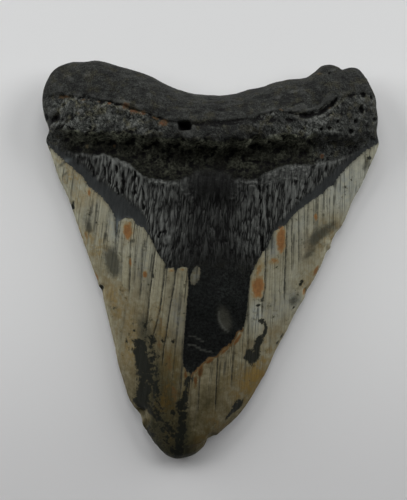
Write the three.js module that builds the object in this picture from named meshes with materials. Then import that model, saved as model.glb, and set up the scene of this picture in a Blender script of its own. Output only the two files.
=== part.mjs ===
/**
 * Megalodon tooth: one fossil piece that lies on its flatter outer (labial) face.
 *
 * Millimetres, +Z up. +Y runs from the tip of the crown to the root, and +X to the right of the
 * bulging inner (lingual) face, which looks up. The origin is on the resting plane, under the
 * middle of the tooth's box.
 *
 * The solid is two curved sheets that share one outline: the inner face above, the outer face
 * below. Both stand on the same grid, a Coons patch between the outline's four stretches, and
 * each is lifted by a height formula.
 */
import * as THREE from 'three';

// ---- driving dimensions -------------------------------------------------------------------

// The grid's lines lie closer together towards the edges, where the surface turns fastest. An
// evenness of 1 would space them evenly, and a higher root power puts more rows in the root.
const COLUMNS = 40;
const ROWS = 54;
const COLUMN_EVENNESS = 0.35;
const ROW_ROOT_POWER = 1.6;
const ROW_ROOT_SHARE = 0.5;

// The height of the outline above the resting plane, from the tip to the top of the root.
const EDGE_HEIGHTS = [
	[ -66, 2.6 ], [ -30, 1.8 ], [ 15, 2.0 ], [ 38, 3.4 ], [ 52, 6.0 ], [ 66, 6.5 ],
];

// The height of the crown's middle line, from the tip to the neck.
const CROWN_HEIGHTS = [
	[ -66, 5.8 ], [ -40, 11.8 ], [ -10, 16.2 ], [ 12, 18.2 ], [ 28, 19.6 ], [ 40, 19.2 ],
];

const CROWN_FULLNESS = { blade: 2.4, neck: 2.8, from: - 10, to: 30 };
const TIP_ROUND = 10;

const ROOT_HEIGHT = 14.5;
const ROOT_BULGE = { rise: 11.5, spread: 36 };
const ROOT_SIDE_ROUND = 18;
const ROOT_BASE_ROUND = 15;

// The ledge is the lower lip of the root's bulge, and the neck is the crest where the crown ends.
const LEDGE_LINE = [
	[ -56, 44.0 ], [ -43, 41.6 ], [ -22, 40.0 ], [ 0, 39.0 ], [ 16, 41.0 ], [ 33, 42.0 ],
	[ 46, 41.0 ], [ 56, 42.5 ],
];
const NECK_LINE = [
	[ -56, 38.5 ], [ -40, 34.7 ], [ -27, 31.6 ], [ -16, 26.2 ], [ 0, 28.8 ], [ 12, 26.4 ], [ 26, 31.0 ],
	[ 43, 33.8 ], [ 56, 37.5 ],
];
const LEDGE_WALL = { below: 4.5, above: 1.5 };
const HOLLOW_DEPTH = 1.3;

// The outer face is flat in the middle and rises to the outline over this margin.
const FLAT_MARGIN = 21;
const FLAT_SHARE_LEAST = 0.15;
const TIP_LIFT = { from: - 15, rate: 0.0004 };
const ROOT_ROUNDING = { from: 33, to: 50 };

// ---- the outline, four stretches of points joined by smooth curves ------------------------

const LEFT_EDGE = [
	[ -16.5, -62.7 ], [ -20.7, -57.4 ], [ -22.7, -54.0 ], [ -23.2, -51.0 ], [ -27.0, -45.5 ],
	[ -30.6, -34.7 ], [ -33.6, -21.0 ], [ -37.0, -8.0 ], [ -41.2, 3.3 ], [ -46.6, 19.8 ],
	[ -51.4, 30.4 ], [ -54.3, 39.0 ], [ -53.8, 43.2 ], [ -55.2, 48.5 ], [ -55.6, 54.0 ], [ -54.2, 58.9 ],
];

const RIGHT_EDGE = [
	[ -2.5, -62.0 ], [ -0.6, -58.8 ], [ 4.0, -56.1 ], [ 9.7, -50.8 ], [ 16.3, -40.6 ],
	[ 21.5, -29.7 ], [ 28.1, -17.2 ], [ 34.7, -5.3 ], [ 41.3, 8.0 ], [ 46.9, 19.8 ],
	[ 53.0, 32.3 ], [ 55.6, 39.0 ], [ 54.9, 43.0 ], [ 55.1, 47.0 ], [ 54.4, 52.8 ], [ 52.8, 57.2 ],
];

const TIP_EDGE = [
	[ -16.5, -62.7 ], [ -14.5, -64.7 ], [ -11.2, -65.8 ], [ -7.8, -65.3 ], [ -5.0, -64.1 ], [ -2.5, -62.0 ],
];

const BASE_EDGE = [
	[ -54.2, 58.9 ], [ -50.4, 63.5 ], [ -45.5, 65.4 ], [ -38.0, 65.8 ], [ -30.6, 64.0 ], [ -20.0, 60.6 ],
	[ -11.0, 56.5 ], [ -3.5, 54.6 ], [ 3.0, 54.3 ], [ 12.0, 56.1 ], [ 21.2, 58.6 ], [ 30.5, 60.1 ],
	[ 36.0, 63.5 ], [ 39.8, 64.3 ], [ 43.3, 63.1 ], [ 47.0, 63.4 ], [ 50.2, 61.4 ], [ 52.8, 57.2 ],
];

// ---- small helpers ------------------------------------------------------------------------

/** The height at x on a line through stations of [ x, height ], eased between each two. */
function along( stations, x ) {

	let result = stations[ 0 ][ 1 ];
	for ( let i = 1; i < stations.length; i ++ ) {

		const [ startX, startHeight ] = stations[ i - 1 ];
		const [ endX, endHeight ] = stations[ i ];
		if ( x > startX ) {

			const share = THREE.MathUtils.clamp( ( x - startX ) / ( endX - startX ), 0, 1 );
			const eased = ( share + THREE.MathUtils.smoothstep( share, 0, 1 ) ) / 2;
			result = THREE.MathUtils.lerp( startHeight, endHeight, eased );

		}

	}

	return result;

}

/** A smooth curve through a stretch of outline points. */
function makeCurve( points ) {

	return new THREE.SplineCurve( points.map( ( [ x, y ] ) => new THREE.Vector2( x, y ) ) );

}

/** A grid line's place between 0 and 1, closer together towards both ends. */
function bunched( share, evenness ) {

	const bunch = ( 1 - Math.cos( Math.PI * share ) ) / 2;
	return evenness * share + ( 1 - evenness ) * bunch;

}

/** A row's place between the tip at 0 and the base at 1, with more rows in the root. */
function rowPlace( share ) {

	const towardsRoot = 1 - Math.pow( 1 - share, ROW_ROOT_POWER );
	return THREE.MathUtils.lerp( bunched( share, 0 ), towardsRoot, ROW_ROOT_SHARE );

}

// ---- the plan: where each grid point stands -----------------------------------------------

const edges = {
	left: makeCurve( LEFT_EDGE ),
	right: makeCurve( RIGHT_EDGE ),
	tip: makeCurve( TIP_EDGE ),
	base: makeCurve( BASE_EDGE ),
};

/** The point a share of the way along the straight line between a curve's ends. */
function chordPoint( curve, share ) {

	return curve.getPointAt( 0 ).lerp( curve.getPointAt( 1 ), share );

}

/** The point of the Coons patch at u across and v from tip to base. */
function planPoint( u, v ) {

	const left = edges.left.getPointAt( v );
	const right = edges.right.getPointAt( v );
	const tip = edges.tip.getPointAt( u );
	const base = edges.base.getPointAt( u );
	const across = left.lerp( right, u );
	const lengthwise = tip.lerp( base, v );
	const corners = chordPoint( edges.tip, u ).lerp( chordPoint( edges.base, u ), v );
	return across.add( lengthwise ).sub( corners );

}

/** A grid point with what both height formulas need to know about it. */
function makeStation( column, row ) {

	const u = bunched( column / COLUMNS, COLUMN_EVENNESS );
	const v = rowPlace( row / ROWS );
	const { x, y } = planPoint( u, v );
	const halfWidth = edges.left.getPointAt( v ).distanceTo( edges.right.getPointAt( v ) ) / 2;
	const fromMiddle = Math.abs( 2 * u - 1 );
	const edgeLength = edges.left.getLength();
	return {
		x, y, halfWidth, fromMiddle,
		fromTip: v * edgeLength,
		fromBase: ( 1 - v ) * edgeLength,
		edgeHeight: along( EDGE_HEIGHTS, y ),
	};

}

/** How far a point is into an edge zone: 0 at the zone's start and 1 on the edge itself. */
function nearness( distance, zone ) {

	return THREE.MathUtils.clamp( 1 - distance / zone, 0, 1 );

}

/** A round shoulder: 0 on the edge and 1 past the rounding, along a quarter of an ellipse. */
function rounding( sideNearness, endNearness ) {

	return Math.sqrt( ( 1 - sideNearness ** 2 ) * ( 1 - endNearness ** 2 ) );

}

// ---- the two height formulas --------------------------------------------------------------

/** The inner face: a lens-shaped crown, and a root that bulges up behind a hollow and a ledge. */
function innerHeight( { x, y, halfWidth, fromMiddle, fromTip, fromBase, edgeHeight } ) {

	const fullShare = THREE.MathUtils.smoothstep( y, CROWN_FULLNESS.from, CROWN_FULLNESS.to );
	const power = THREE.MathUtils.lerp( CROWN_FULLNESS.blade, CROWN_FULLNESS.neck, fullShare );
	const lens = ( 1 - fromMiddle ** power ) * rounding( 0, nearness( fromTip, TIP_ROUND ) );
	const crown = edgeHeight + ( along( CROWN_HEIGHTS, y ) - edgeHeight ) * lens;

	const bulge = ROOT_HEIGHT + ROOT_BULGE.rise * Math.exp( - ( ( x / ROOT_BULGE.spread ) ** 2 ) );
	const sideNearness = nearness( ( 1 - fromMiddle ) * halfWidth, ROOT_SIDE_ROUND );
	const shoulder = rounding( sideNearness, nearness( fromBase, ROOT_BASE_ROUND ) );
	const root = edgeHeight + ( bulge - edgeHeight ) * shoulder;

	const ledge = along( LEDGE_LINE, x );
	const neck = along( NECK_LINE, x );
	const wall = THREE.MathUtils.smoothstep( y, ledge - LEDGE_WALL.below, ledge + LEDGE_WALL.above );
	const intoHollow = THREE.MathUtils.clamp( ( y - neck ) / ( ledge - neck ), 0, 1 );
	const hollow = HOLLOW_DEPTH * Math.sin( Math.PI * intoHollow ) ** 2 * lens;
	return THREE.MathUtils.lerp( crown, root, wall ) - hollow;

}

/** The outer face: flat where the tooth rests, rising to a thin blade edge and a round root. */
function outerHeight( { y, halfWidth, fromMiddle, fromTip, fromBase, edgeHeight } ) {

	const flatShare = Math.max( FLAT_SHARE_LEAST, 1 - FLAT_MARGIN / halfWidth );
	const sideNearness = nearness( 1 - fromMiddle, 1 - flatShare );
	const blade = 1 - ( 1 - sideNearness ** 2 ) * rounding( 0, nearness( fromTip, TIP_ROUND ) );

	const rootSide = nearness( ( 1 - fromMiddle ) * halfWidth, ROOT_SIDE_ROUND );
	const root = 1 - rounding( rootSide, nearness( fromBase, ROOT_BASE_ROUND ) );

	const rootShare = THREE.MathUtils.smoothstep( y, ROOT_ROUNDING.from, ROOT_ROUNDING.to );
	const lift = TIP_LIFT.rate * Math.max( 0, TIP_LIFT.from - y ) ** 2;
	return lift + ( edgeHeight - lift ) * THREE.MathUtils.lerp( blade, root, rootShare );

}

// ---- the solid ----------------------------------------------------------------------------

/** One closed body: the inner sheet, and the outer sheet that reuses its border points. */
function makeToothGeometry() {

	const positions = [];
	const indices = [];
	const inner = [];
	const outer = [];

	const addPoint = ( x, y, z ) => {

		positions.push( x, y, z );
		return positions.length / 3 - 1;

	};

	for ( let row = 0; row <= ROWS; row ++ ) {

		inner.push( [] );
		outer.push( [] );
		for ( let column = 0; column <= COLUMNS; column ++ ) {

			const station = makeStation( column, row );
			const onBorder = row === 0 || row === ROWS || column === 0 || column === COLUMNS;
			const top = onBorder ? station.edgeHeight : innerHeight( station );
			const above = addPoint( station.x, station.y, top );
			inner[ row ].push( above );
			outer[ row ].push( onBorder ? above : addPoint( station.x, station.y, outerHeight( station ) ) );

		}

	}

	for ( let row = 0; row < ROWS; row ++ ) {

		for ( let column = 0; column < COLUMNS; column ++ ) {

			const [ a, b, c, d ] = cellCorners( inner, row, column );
			const [ e, f, g, h ] = cellCorners( outer, row, column );
			indices.push( a, b, c, a, c, d );
			indices.push( e, g, f, e, h, g );

		}

	}

	const geometry = new THREE.BufferGeometry();
	geometry.setAttribute( 'position', new THREE.Float32BufferAttribute( positions, 3 ) );
	geometry.setIndex( indices );
	geometry.computeBoundingBox();
	const middle = geometry.boundingBox.getCenter( new THREE.Vector3() );
	geometry.translate( - middle.x, - middle.y, 0 );
	geometry.computeVertexNormals();
	return geometry;

}

/** The four points round a cell of a sheet, counter-clockwise seen from above. */
function cellCorners( sheet, row, column ) {

	const near = sheet[ row ];
	const far = sheet[ row + 1 ];
	return [ near[ column ], near[ column + 1 ], far[ column + 1 ], far[ column ] ];

}

const fossil = new THREE.MeshStandardMaterial( { color: 0x4b4a44, roughness: 0.55, metalness: 0 } );

const tooth = new THREE.Mesh( makeToothGeometry(), fossil );
tooth.name = 'tooth';

const model = new THREE.Group();
model.add( tooth );

export default model;
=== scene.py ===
"""Megalodon tooth: a fossil that lies on its flatter outer face, seen from above.

The fixed frame is loaded first, and the one visible piece is made to its size. Lengths in the
tooth's own classes are millimetres, in the frame's axes: +Y from the tip of the crown to the root,
+X to the right of the bulging inner face and +Z up. They become metres when a mesh is made.

The tooth is one closed surface of two sheets that share an outline. The inner sheet carries the
root, the hollow, the wrinkled collar, the bare spear and the enamel; the outer sheet is plainer and
has half as many grid lines each way.
"""
import logging
import math
from collections.abc import Callable
from dataclasses import dataclass
from enum import Enum

import bpy
import numpy as np
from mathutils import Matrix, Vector


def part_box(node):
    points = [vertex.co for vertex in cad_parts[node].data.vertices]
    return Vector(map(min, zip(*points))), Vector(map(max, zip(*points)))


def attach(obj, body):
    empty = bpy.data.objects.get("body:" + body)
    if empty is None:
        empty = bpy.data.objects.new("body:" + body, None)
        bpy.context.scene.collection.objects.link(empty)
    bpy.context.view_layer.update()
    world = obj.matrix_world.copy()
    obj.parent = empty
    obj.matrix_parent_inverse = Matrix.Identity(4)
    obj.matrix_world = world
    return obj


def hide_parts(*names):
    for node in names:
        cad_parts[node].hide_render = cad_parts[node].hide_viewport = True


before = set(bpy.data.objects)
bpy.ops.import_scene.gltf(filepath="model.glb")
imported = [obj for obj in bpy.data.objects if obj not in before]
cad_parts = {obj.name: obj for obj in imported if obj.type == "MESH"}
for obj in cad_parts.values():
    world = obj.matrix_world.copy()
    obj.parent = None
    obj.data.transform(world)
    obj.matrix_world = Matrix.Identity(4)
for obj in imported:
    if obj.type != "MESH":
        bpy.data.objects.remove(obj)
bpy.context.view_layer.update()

Array = np.ndarray
Points = tuple[tuple[float, float], ...]
Place = tuple[float, float, float]
Colour = tuple[float, float, float]
Socket = bpy.types.NodeSocket

MM = 0.001
NOISE_CELLS = 256
log = logging.getLogger("tooth")


class Side(Enum):
    """The two faces of the tooth."""

    INNER = "inner"
    OUTER = "outer"


# ---- shapes as whole arrays ----


def ease(low: float, high: float, value: Array) -> Array:
    """A smooth step: 0 below low and 1 above high, as 3t^2 - 2t^3 between them.

    Args:
        low: Where the step starts.
        high: Where the step ends.
        value: The values to step.

    Returns:
        The step, 0 to 1, in the shape of value.
    """
    share = np.clip((value - low) / (high - low), 0.0, 1.0)
    return share * share * (3.0 - 2.0 * share)


def blend(low: Array | float, high: Array | float, share: Array) -> Array:
    """A straight mix of two values: low at share 0 and high at share 1."""
    return low + (high - low) * share


def hill(offset: Array, width: float) -> Array:
    """A bell of height 1: e to the minus square of offset over width."""
    return np.exp(-((offset / width) ** 2))


def along(stations: Points, x: Array) -> Array:
    """The height at x on a line through stations, half straight and half eased between each two.

    Args:
        stations: Points of the line as (x, height), with x rising.
        x: Where the height is wanted.

    Returns:
        The heights, held level past both ends.
    """
    place, height = np.array(stations).T
    at = np.clip(x, place[0], place[-1])
    low = np.clip(np.searchsorted(place, at, side="right") - 1, 0, len(place) - 2)
    share = (at - place[low]) / (place[low + 1] - place[low])
    return blend(height[low], height[low + 1], 0.5 * share + 0.5 * ease(0.0, 1.0, share))


def gradient_noise(x: Array, y: Array, seed: int) -> Array:
    """Gradient noise: each whole-number corner has a random slope, and the four round a point blend.

    Args:
        x, y: The places, in cells.
        seed: The random seed.

    Returns:
        Noise of about -1 to 1, in the shape of x.
    """
    size = NOISE_CELLS
    angle = np.random.default_rng(seed).uniform(0.0, 2.0 * np.pi, (size, size))
    column = np.floor(x).astype(int)
    row = np.floor(y).astype(int)
    right = x - column
    up = y - row

    def corner(step_x: int, step_y: int) -> Array:
        """The slope of one corner times the way from it to the point."""
        turn = angle[(column + step_x) % size, (row + step_y) % size]
        return np.cos(turn) * (right - step_x) + np.sin(turn) * (up - step_y)

    share_x = right**3 * (right * (right * 6.0 - 15.0) + 10.0)
    share_y = up**3 * (up * (up * 6.0 - 15.0) + 10.0)
    near = blend(corner(0, 0), corner(1, 0), share_x)
    far = blend(corner(0, 1), corner(1, 1), share_x)
    return 1.5 * blend(near, far, share_y)


def layered_noise(x: Array, y: Array, seed: int, layers: int = 3) -> Array:
    """Layers of gradient noise, each twice as fine and half as strong as the one before."""
    total = sum(0.5**i * gradient_noise(x * 2**i, y * 2**i, seed + i) for i in range(layers))
    return total / (2.0 - 0.5 ** (layers - 1))


def creases(x: Array, y: Array, seed: int) -> Array:
    """Noise folded about its middle: -1 in narrow creases, and up to 1 on the broad ridges between."""
    return np.minimum(3.2 * np.abs(gradient_noise(x, y, seed)), 2.0) - 1.0


def pore_noise(x: Array, y: Array, seed: int) -> Array:
    """The distance, in cells, to the nearest of random points that stand one in each cell.

    Args:
        x, y: The places, in cells.
        seed: The random seed.

    Returns:
        The distances, in the shape of x.
    """
    size = NOISE_CELLS
    spot = np.random.default_rng(seed).uniform(0.15, 0.85, (size, size, 2))
    column = np.floor(x).astype(int)
    row = np.floor(y).astype(int)
    nearest = np.full(x.shape, np.inf)
    for step_x in (-1, 0, 1):
        for step_y in (-1, 0, 1):
            at = spot[(column + step_x) % size, (row + step_y) % size]
            away = np.hypot(column + step_x + at[..., 0] - x, row + step_y + at[..., 1] - y)
            nearest = np.minimum(nearest, away)
    return nearest


def smooth_curve(points: Points, steps: int = 16) -> Array:
    """A Catmull-Rom curve: a cubic between each two points, sloped like the chord of its neighbours.

    Args:
        points: The points that the curve passes through.
        steps: How many short chords stand for each cubic.

    Returns:
        The points of the curve, one row each.
    """
    at = np.array(points, dtype=float)
    ends = np.vstack([at[:1], at, at[-1:]])
    before, start, end, after = (ends[i : len(ends) - 3 + i, None] for i in range(4))
    t = np.linspace(0.0, 1.0, steps, endpoint=False)[None, :, None]
    leaving = (end - before) / 2.0
    arriving = (after - start) / 2.0
    cubic = (2.0 * (start - end) + leaving + arriving) * t**3
    square = (3.0 * (end - start) - 2.0 * leaving - arriving) * t**2
    curve = cubic + square + leaving * t + start
    return np.vstack([curve.reshape(-1, 2), at[-1:]])


def spaced(curve: Array, shares: Array) -> Array:
    """The points at given shares of a curve's length.

    Args:
        curve: The points of the curve, one row each.
        shares: The wanted shares of its length, 0 to 1.

    Returns:
        The points, one row each.
    """
    length = np.append(0.0, np.cumsum(np.hypot(*np.diff(curve, axis=0).T)))
    at = shares * length[-1]
    return np.stack([np.interp(at, length, curve[:, 0]), np.interp(at, length, curve[:, 1])], -1)


def line_distance(x: Array, y: Array, points: Points | Array) -> Array:
    """The distance from each place to the nearest point of an open line.

    Args:
        x, y: The places.
        points: The corners of the line.

    Returns:
        The distances, in the shape of x.
    """
    corners = np.array(points, dtype=float)
    nearest = np.full(x.shape, np.inf)
    for (ax, ay), (bx, by) in zip(corners[:-1], corners[1:]):
        run, rise = bx - ax, by - ay
        share = np.clip(((x - ax) * run + (y - ay) * rise) / (run**2 + rise**2), 0.0, 1.0)
        nearest = np.minimum(nearest, np.hypot(x - ax - share * run, y - ay - share * rise))
    return nearest


def is_inside(x: Array, y: Array, points: Array) -> Array:
    """True where a ray towards +X crosses a closed line an odd number of times.

    Args:
        x, y: The places.
        points: The corners of the line, one row each.

    Returns:
        Whether each place is inside, in the shape of x.
    """
    inside = np.zeros(x.shape, dtype=bool)
    for (ax, ay), (bx, by) in zip(points, np.roll(points, -1, axis=0)):
        if ay != by:
            crossed = (ay > y) != (by > y)
            inside ^= crossed & (x < ax + (y - ay) * (bx - ax) / (by - ay))
    return inside


@dataclass(frozen=True)
class Spot:
    """An oval mark: its middle, its half axes and how far its long axis leans to the left."""

    x: float
    y: float
    half_width: float
    half_length: float
    lean_deg: float = 0.0
    strength: float = 1.0
    squareness: float = 2.0

    def reach(self, x: Array, y: Array) -> Array:
        """The distance from the middle in half axes: 0 there, and 1 on the oval.

        Args:
            x, y: The places.

        Returns:
            The distances, in the shape of x.
        """
        lean = math.radians(self.lean_deg)
        across = (x - self.x) * math.cos(lean) + (y - self.y) * math.sin(lean)
        lengthwise = (y - self.y) * math.cos(lean) - (x - self.x) * math.sin(lean)
        sides = np.abs(np.stack([across / self.half_width, lengthwise / self.half_length]))
        return (sides**self.squareness).sum(0) ** (1.0 / self.squareness)


def spots(*rows: tuple[float, ...]) -> tuple[Spot, ...]:
    """One spot for each row, which gives a spot's sizes in their own order."""
    return tuple(Spot(*row) for row in rows)


def spot_mask(x: Array, y: Array, marks: tuple[Spot, ...]) -> Array:
    """How far inside any spot a place is: 0.5 on the oval, 1 well inside and 0 well outside."""
    masks = (np.clip(1.5 - mark.reach(x, y), 0.0, 1.0) * mark.strength for mark in marks)
    return np.maximum.reduce(list(masks))


def cloud_sum(x: Array, y: Array, clouds: tuple[Spot, ...]) -> Array:
    """The sum of soft clouds: each is its strength times e to the minus square of its reach."""
    return sum(cloud.strength * np.exp(-cloud.reach(x, y) ** 2) for cloud in clouds)


@dataclass(frozen=True)
class Streak:
    """A mark along a line of points, with round ends, as wide as twice its half width."""

    points: Points
    half_width: float
    strength: float = 1.0

    def mask(self, x: Array, y: Array) -> Array:
        """0.5 on the streak's edge, 1 well inside it and 0 well outside."""
        away = line_distance(x, y, self.points) / self.half_width
        return np.clip(1.5 - away, 0.0, 1.0) * self.strength


def streak_mask(x: Array, y: Array, streaks: tuple[Streak, ...]) -> Array:
    """The strongest of the streaks at each place."""
    return np.maximum.reduce([streak.mask(x, y) for streak in streaks])


@dataclass(frozen=True)
class Texture:
    """Relief made of noise: the kind of noise, the width and length of its lumps, height and seed."""

    kind: Callable[[Array, Array, int], Array]
    width: float
    length: float
    height: float
    seed: int

    def at(self, x: Array, y: Array) -> Array:
        """The relief at each place."""
        return self.height * self.kind(x / self.width, y / self.length, self.seed)


# ---- the plan and the form ----


@dataclass(frozen=True)
class Outline:
    """The tooth's outline from above, in four stretches of points joined by smooth curves."""

    left: Points = (
        (-16.7, -62.7), (-18.9, -60.2), (-20.7, -57.4), (-22.5, -54.6), (-22.8, -52.6), (-23.6, -50.6),
        (-25.6, -48.4), (-27.2, -45.5), (-29, -39.8), (-30.6, -34.7), (-31.9, -28.1), (-33.6, -21.1),
        (-35.4, -13.4), (-36, -10.2), (-37.1, -8.6), (-37.6, -6.6), (-38.9, -3.3), (-41.2, 3.3),
        (-43.8, 10.6), (-46.6, 19), (-48.2, 22.8), (-50.1, 26.6), (-51.5, 30.8), (-53, 35.5), (-54.4, 39.4),
        (-53.5, 42.6), (-53.9, 44.6), (-54.7, 46.6), (-55.3, 49.4), (-55.6, 52.6), (-55.2, 56),
        (-54.2, 58.9),
    )
    right: Points = (
        (-2.5, -62), (-1.7, -60.5), (-0.9, -58.8), (0.3, -58), (1.9, -58), (4, -56.1), (7, -53.6),
        (9.7, -50.8), (13, -46.2), (16.3, -40.6), (18.9, -36), (21.5, -30), (25.3, -23.1), (28.1, -17.4),
        (30.8, -13), (31.7, -10.4), (33.2, -8), (34.9, -5.1), (36.9, -1), (38.2, 2.4), (39.6, 4), (40, 5.8),
        (41.4, 8.8), (43.2, 11), (45, 14.6), (46.9, 19.4), (49.8, 24.6), (51.6, 28.6), (53.3, 32.5),
        (55, 36.2), (55.6, 39), (54.9, 42.2), (55.2, 46.2), (54.7, 50.2), (54.4, 53.4), (52.8, 57.2),
    )
    tip: Points = (
        (-16.7, -62.7), (-14.5, -64.7), (-11.5, -65.8), (-7.8, -65.3), (-5, -64.1), (-2.5, -62),
    )
    base: Points = (
        (-54.2, 58.9), (-52.5, 61.9), (-50.3, 63.7), (-47, 65), (-44.3, 65.4), (-41.6, 65.3), (-38, 65.8),
        (-34.8, 65.3), (-30.6, 64), (-25, 62.5), (-20, 60.7), (-15.6, 58.3), (-11.1, 56.4), (-6.8, 55.1),
        (-3, 54.6), (3.1, 54.3), (8, 54.9), (12, 56.1), (16.9, 57.1), (21.2, 58.6), (26.2, 59.6),
        (31, 60.1), (33.7, 61.6), (36.5, 63.9), (39.2, 64.4), (41.6, 63.8), (43.4, 62.9), (46, 63.5),
        (48.4, 63.2), (50.2, 61.4), (51.6, 59.2), (52.8, 57.2),
    )
    serration_pitch: float = 1.5
    serration_depth: float = 0.11
    crown_top: float = 37.0
    base_waves: Texture = Texture(layered_noise, 2.3, 1.0, 0.16, 13)

    def worn(self, points: Points, shares: Array, seed: int) -> Array:
        """A side edge with worn serrations: fine noise that moves the crown's part of it sideways.

        Args:
            points: The side's points, from the tip up.
            shares: The shares of its length that are wanted.
            seed: The random seed.

        Returns:
            The points of the side, one row each.
        """
        side = spaced(smooth_curve(points), shares)
        on_crown = 1.0 - ease(self.crown_top, self.crown_top + 3.0, side[:, 1])
        fine = layered_noise(side[:, 1] / self.serration_pitch, side[:, 0] * 0.0 + seed, seed)
        side[:, 0] += self.serration_depth * fine * (0.5 + on_crown)
        return side

    def plan(self, across: Array, lengthwise: Array) -> tuple[Array, Array]:
        """The Coons patch: the two mixes of facing edges, less the mix of the four corners.

        Args:
            across: The columns' shares from left to right.
            lengthwise: The rows' shares from tip to base.

        Returns:
            The x and y of the grid points, one row of the grid to a row of the array.
        """
        left = self.worn(self.left, lengthwise, 11)[:, None]
        right = self.worn(self.right, lengthwise, 12)[:, None]
        tip = spaced(smooth_curve(self.tip), across)[None]
        base = spaced(smooth_curve(self.base), across)[None]
        base[0, :, 1] += self.base_waves.at(base[0, :, 0], np.full(base.shape[1], 0.5))
        tip[0, 0], tip[0, -1] = left[0, 0], right[0, 0]
        base[0, 0], base[0, -1] = left[-1, 0], right[-1, 0]
        u, v = across[None, :, None], lengthwise[:, None, None]
        corners = blend(blend(left[:1], right[:1], u), blend(left[-1:], right[-1:], u), v)
        patch = blend(left, right, u) + blend(tip, base, v) - corners
        return patch[..., 0], patch[..., 1]


@dataclass(frozen=True)
class Grid:
    """The grid's lines: closer together at the edges, and rows closer together in the root."""

    columns: int = 320
    rows: int = 248
    column_bunching: float = 2.6
    row_bunching: float = 2.2
    root_rows: float = 1.75
    root_from: tuple[float, float] = (0.46, 0.6)
    samples: int = 2001

    def shares(self, count: int, density: Array) -> Array:
        """Places between 0 and 1 whose spacing is the inverse of a density sampled evenly there.

        Args:
            count: How many spaces there are.
            density: The samples of the density.

        Returns:
            The places, one more than the spaces.
        """
        total = np.append(0.0, np.cumsum((density[1:] + density[:-1]) / 2.0))
        at = np.linspace(0.0, total[-1], count + 1)
        return np.interp(at, total, np.linspace(0.0, 1.0, len(density)))

    def across(self) -> Array:
        """The columns' shares of the way from the left edge to the right."""
        left = hill(np.linspace(0.0, 1.0, self.samples), 0.03)
        return self.shares(self.columns, 1.0 + self.column_bunching * (left + left[::-1]))

    def lengthwise(self) -> Array:
        """The rows' places, closer together at both ends and in the root.

        Returns:
            Their shares of the way from the tip to the base.
        """
        place = np.linspace(0.0, 1.0, self.samples)
        bunch = hill(place, 0.02) + hill(1.0 - place, 0.03)
        in_root = blend(1.0, self.root_rows, ease(*self.root_from, place))
        return self.shares(self.rows, in_root + self.row_bunching * bunch)


@dataclass
class Sheet:
    """The grid points of one face, with what the height and relief formulas need to know."""

    side: Side
    x: Array
    y: Array
    from_middle: Array
    half_width: Array
    from_tip: Array
    from_base: Array
    edge_height: Array

    @property
    def from_side(self) -> Array:
        """About how far each point is from the nearer side edge."""
        return (1.0 - self.from_middle) * self.half_width

    @property
    def from_edge(self) -> Array:
        """About how far each point is from the outline."""
        return np.minimum(np.minimum(self.from_side, self.from_tip), self.from_base)

    @property
    def mark_place(self) -> tuple[Array, Array]:
        """Where to look each point up among the marks: moved on the outer face, so the two differ."""
        over, down = (3.7, 14.0) if self.side is Side.OUTER else (0.0, 0.0)
        return self.x + over, self.y - down


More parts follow.
